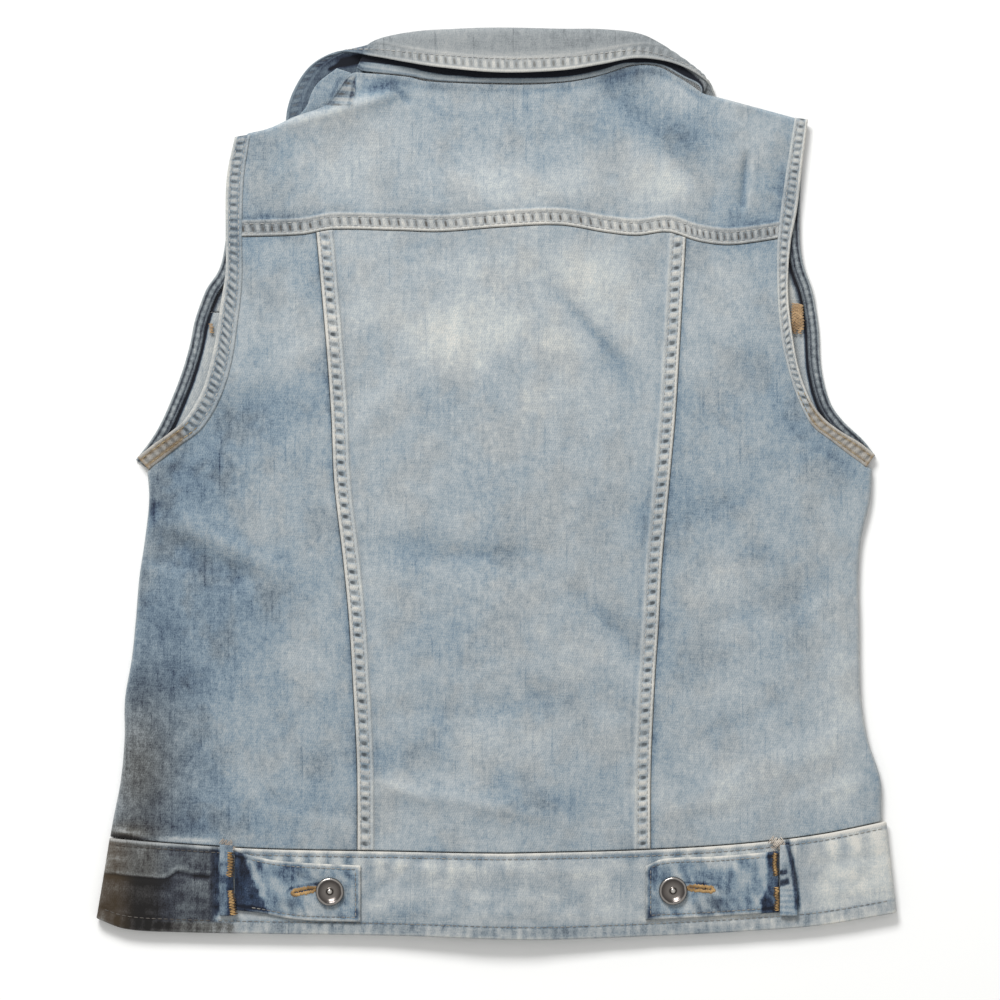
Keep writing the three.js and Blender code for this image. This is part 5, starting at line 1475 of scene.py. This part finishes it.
for hand, sign in SIGN.items():
    placket_lift = BUTTON_LIFT if hand == "right" else BUTTON_LIFT + PLACKET + GAP
    placket_edge = sign * (PLACKET_WIDTH / 2 + GAP)
    inner = arm_front[hand]["inner"]
    tip = inner[-1, 1]
    bottom = hem["seam"](side[hand](SIDE_FOOT)) + GAP
    row_y = bottom + spread(LEAF_LIFT_Y - GAP - bottom, 3.0)
    curl = curl_at(row_y, tip)
    tucked = sign * (UNDER_BAND * (1 - curl) - seam_room(row_y, tip) * curl)
    curled = side[hand](row_y) - sign * CLOTH / 2
    outside = np.where(row_y > tip, x_at_height(inner, row_y) + tucked, curled)
    reach = np.abs(outside - placket_edge)[:, None]
    flat = spread(1, 1 / 56, 0.004)[:-3] * (reach - SIDE_RADIUS)
    turn = reach - SIDE_RADIUS * (1 - np.sin(CURL_ANGLES))
    places = np.concatenate([flat, turn], axis=1)
    angle = np.concatenate([np.zeros(flat.shape[1]), CURL_ANGLES])
    x = placket_edge + sign * places
    to_hem = (1 - smooth((row_y - bottom) / EDGE_BLEND))[:, None]
    y = row_y[:, None] + (hem["seam"](x) + GAP - bottom) * to_hem
    creased = np.maximum(fold_height(FRONT_CREASES, x, y), 0) * smooth(places / 12)
    base = FLOOR_LAYER + placket_lift * by_centre(x) + creased
    z = base + curl[:, None] * (1 - np.cos(angle)) * (MID_LAYER - GAP / 2 - base)
    shadow = smooth((places - reach + UNDER_BAND - 0.8) / 0.8) * (1 - curl[:, None])
    inner_tone = 0.70 + 0.05 * ripple(x, y, 14, 61) - 0.8 * shadow
    layers = np.stack([x, y, z], -1), inner_tone, wash_map(x, y, 0.5)
    grid, inner_tone, tone = facing_up(sign, *layers)
    obj, surface = wall(
        f"front_{hand}_cloth", grid, CLOTH / 2, CLOTH / 2, inner_tone, grey=0.3, wash_below=tone
    )
    dress(obj, f"front_{hand}", body_denim)

    inside = np.vstack([line_through(NECKLINES[hand], 60), [placket_edge, LEAF_LIFT_Y + GAP]])
    arm = inner[inner[:, 1] > LEAF_LIFT_Y + 4]
    arm = arm + np.array([sign * UNDER_BAND, 0])
    foot = [x_at_height(inner, LEAF_LIFT_Y) + sign * UNDER_BAND, LEAF_LIFT_Y + GAP]
    outer = np.vstack([line_through(SHOULDERS[hand], 40), arm, foot])
    shares, across = spread(1, 0.015, 0.008), spread(1, 0.02, 0.008)
    a, b = at_share(inside, shares)[::-1, None], at_share(outer, shares)[::-1, None]
    plan = a + (b - a) * across[None, :, None]
    x, y = plan[..., 0], plan[..., 1]
    over_leaf = LEAF_LIFT * smooth((y - LEAF_LIFT_Y) / LEAF_LIFT_RUN)
    corner = NECK_CORNER_LIFT * smooth((y - 216) / 18) + 0.5 * smooth((y - 240) / 8) if hand == "left" else 0
    z = FLOOR_LAYER + np.maximum(over_leaf, placket_lift * by_centre(x)) + corner
    z = z + np.maximum(fold_height(FRONT_CREASES, x, y), 0) * smooth((200 - y) / 20)
    to_arm = (1 - across[None]) * np.linalg.norm(b - a, axis=2)
    shadow = smooth((UNDER_BAND + 0.4 - to_arm) / 0.8) * smooth((200 - y) / 10)
    inner_tone = 0.78 - 0.30 * smooth((y - 205) / 12) + 0.04 * ripple(x, y, 14, 62) - 0.85 * shadow
    # painted shade beside the back yoke's edge, which lies above
    inner_tone = inner_tone + 0.2 * fold_height([(-93.5, 243, -99.5, 231, -1, 1.6)], x, y)
    layers = np.stack([x, y, z], -1), inner_tone, wash_map(x, y, 0.6)
    grid, inner_tone, tone = facing_up(sign, *layers)
    dusty = mix(0.5, 0.1, smooth((grid[..., 1] - 205) / 12))
    obj, surface = wall(
        f"front_yoke_{hand}_cloth", grid, CLOTH / 2, CLOTH / 2, inner_tone, grey=dusty, wash_below=tone
    )
    cut = (0.165, 0.140)
    dress(obj, f"front_yoke_{hand}", body_denim)

    rows = spread(PLACKET_TALL, 2.4) / PLACKET_TALL
    columns = spread(PLACKET_WIDTH, 1.6) - PLACKET_WIDTH / 2
    x = columns[None] + 0 * rows[:, None]
    y = mix(hem["seam"](x) + GAP, PLACKET_TOP, rows[:, None])
    z = PLACKET / 2 + placket_lift + 0 * x
    grid, tone, cut = np.stack([x, y, z], -1), wash_map(x, y, 0.5), (PLACKET_WIDTH * MM, 0.390)
    obj, surface = wall(f"front_placket_{hand}_cloth", grid, PLACKET / 2, PLACKET / 2, tone)
    dress(obj, f"front_placket_{hand}", body_denim)

# %% [markdown]
# ## Buttons
#
# Shank buttons are pressed brass caps with an antique nickel plating, which stays dark in the hollows
# and is rubbed bright on the dish and the raised centre; the dark hollows also carry painted shade,
# and the bright centre and the pale ring by the rim a painted highlight. A profile turned round an
# axis gives that shape exactly, and the colour follows the same radius.

# %% Button metal and caps
CAP_RADIUS = 8.5


def plated(name, stops):
    """Plated cap whose colour follows the distance from its axis: rubbed bright with painted highlights, dark
    in hollows with painted shade.
    """
    material, tree = new_material(name)
    place = add(tree, "TexCoord", out=3)
    flat = add(tree, "Mapping", {"Vector": place, "Scale": (1 / (CAP_RADIUS * MM),) * 2 + (0,)})
    radius = add(tree, "VectorMath", [flat], operation="LENGTH", out=1)
    wear = add(tree, "TexNoise", {"Vector": place, "Scale": 260.0, "Detail": 2.0})
    shifted = add(tree, "MapRange", [wear, 0.0, 1.0, -0.05, 0.05])
    reach = add(tree, "Math", [radius, shifted], operation="ADD")
    colour = add(tree, "ValToRGB", [reach], stops=stops)
    rough = add(tree, "MapRange", [wear, 0.3, 0.7, 0.18, 0.3])
    shader = add(tree, "BsdfPrincipled", {"Base Color": colour, "Metallic": 1.0, "Roughness": rough})
    add(tree, "OutputMaterial", {"Surface": shader})
    return material


# dark rings: the plating's oxide with painted shade in the hollows; bright centre and pale rim ring: rubbed
# plating with a painted highlight
OXIDE_WEAR_AND_PAINTED_LIGHT = [
    (0.0, "#efebe6"), (0.10, "#cfcac3"), (0.2, "#4d4845"), (0.34, "#8d8782"), (0.55, "#7a7470"),
    (0.72, "#5f5a57"), (0.80, "#55504e"), (0.88, "#b7b2ad"), (1.0, "#56514e"),
]
dark_nickel = plated("antique_nickel_plated_brass", OXIDE_WEAR_AND_PAINTED_LIGHT)
CAP_PROFILE = [
    (0, 0), (7.3, 0), (8.1, 0.25), (8.5, 0.8), (8.45, 1.4), (8.2, 1.95), (7.7, 2.32), (7.15, 2.4),
    (6.65, 2.25), (6.2, 1.95), (5.6, 1.55), (4.9, 1.15), (4.1, 0.85), (3.2, 0.66), (2.5, 0.62),
    (2.0, 0.85), (1.7, 1.3), (1.3, 1.68), (0.8, 1.88), (0.4, 1.95), (0, 1.97),
]
DOME_PROFILE = [
    (0, 0), (7.4, 0), (8.2, 0.3), (8.5, 1), (8.2, 1.7), (7.4, 2.15), (6, 2.35), (3, 2.4), (0, 2.4),
]


def turned(name, profile, segments=64):
    """Solid of revolution with its axis up and its foot at zero."""
    angles = np.linspace(0, 2 * math.pi, segments, endpoint=False)
    ring = profile[1:-1]
    points = [(0, 0, profile[0][1])]
    points += [(r * math.cos(a), r * math.sin(a), z) for r, z in ring for a in angles]
    points.append((0, 0, profile[-1][1]))
    last = len(points) - 1
    faces = [(0, 1 + (k + 1) % segments, 1 + k) for k in range(segments)]
    for row in range(len(ring) - 1):
        low = 1 + row * segments
        for k in range(segments):
            n = (k + 1) % segments
            faces.append((low + k, low + n, low + segments + n, low + segments + k))
    top = last - segments
    faces += [(top + k, top + (k + 1) % segments, last) for k in range(segments)]
    obj = mesh_object(name, np.array(points), faces, shift=0)
    obj.data.materials.append(dark_nickel)
    return obj


def seat_button(obj, node, place, foot, flip=False):
    """Puts a cap on its shank, face down if flipped."""
    obj.location = ((place[0] + SHIFT[0]) * MM, (place[1] + SHIFT[1]) * MM, foot * MM)
    obj.rotation_euler = (math.pi, 0, 0) if flip else (0, 0, 0)
    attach(obj, "root")
    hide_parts(node)


for hand, tab in TABS.items():
    cap = turned(f"tab_button_{hand}_cap", CAP_PROFILE)
    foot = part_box(f"tab_button_{hand}")[0].z / MM
    seat_button(cap, f"tab_button_{hand}", tab["button"], foot)
for number, row in enumerate(FRONT_BUTTON_ROWS, start=1):
    cap = turned(f"front_button_{number}_cap", DOME_PROFILE, 40)
    seat_button(cap, f"front_button_{number}", (0, row), BUTTON_HEIGHT, flip=True)
print("buttons", 2 + len(FRONT_BUTTON_ROWS))

# %% [markdown]
# ## Rows of stitches
#
# All rows gathered above become four meshes, one for each thread.

# %% Sew the rows
STITCH_RADIUS = 0.3
for kind in ("faded", "rubbed", "dusty", "greyed_lower_left"):
    stitches(f"stitches_{kind}", kind, STITCH_RADIUS)

# %% [markdown]
# ## Floor and light
#
# The vest was photographed flat in soft indoor light and cut out on white. A pale floor under a
# bright, even sky gives that, and one large soft lamp beyond the collar gives the short shadows
# below the collar's edge and beside the seams.

# %% Floor, sky and lamp
FLOOR_REACH = 3.0  # metres from the middle to each side
FLOOR_DROP = 0.0004
SKY_STRENGTH = 0.62
LAMP_SIZE, LAMP_WATTS, LAMP_PLACE = (1.3, 0.9), 88, (-0.8, 2.2, 2.0)

corners = [(-1, -1), (1, -1), (1, 1), (-1, 1)]
floor_mesh = bpy.data.meshes.new("floor")
floor_mesh.from_pydata([(u * FLOOR_REACH, v * FLOOR_REACH, -FLOOR_DROP) for u, v in corners], [], [range(4)])
floor = bpy.data.objects.new("floor", floor_mesh)
bpy.context.scene.collection.objects.link(floor)
material, tree = new_material("matt_white_paper")
paper = add(tree, "BsdfPrincipled", {"Base Color": linear("#fbfbfa"), "Roughness": 0.95})
add(tree, "OutputMaterial", {"Surface": paper})
floor_mesh.materials.append(material)
floor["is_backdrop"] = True

world = bpy.data.worlds.new("soft_room")
world.use_nodes = True
sky = next(n for n in world.node_tree.nodes if n.type == "BACKGROUND")
sky.inputs["Color"].default_value = linear("#f8f8f7")
sky.inputs["Strength"].default_value = SKY_STRENGTH
bpy.context.scene.world = world

lamp_data = bpy.data.lights.new("window", "AREA")
lamp_data.shape = "RECTANGLE"
lamp_data.size, lamp_data.size_y = LAMP_SIZE
lamp_data.energy = LAMP_WATTS
lamp = bpy.data.objects.new("window", lamp_data)
lamp.location = LAMP_PLACE
aim = Vector((0, 0, 0)) - lamp.location
lamp.rotation_euler = aim.to_track_quat("-Z", "Y").to_euler()
bpy.context.scene.collection.objects.link(lamp)
bpy.context.scene.view_settings.view_transform = "Standard"

# %% Finish
visual_sides = [list(corner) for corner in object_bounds()]
print("visual box in mm:", [round(v / MM, 1) for corner in visual_sides for v in corner])
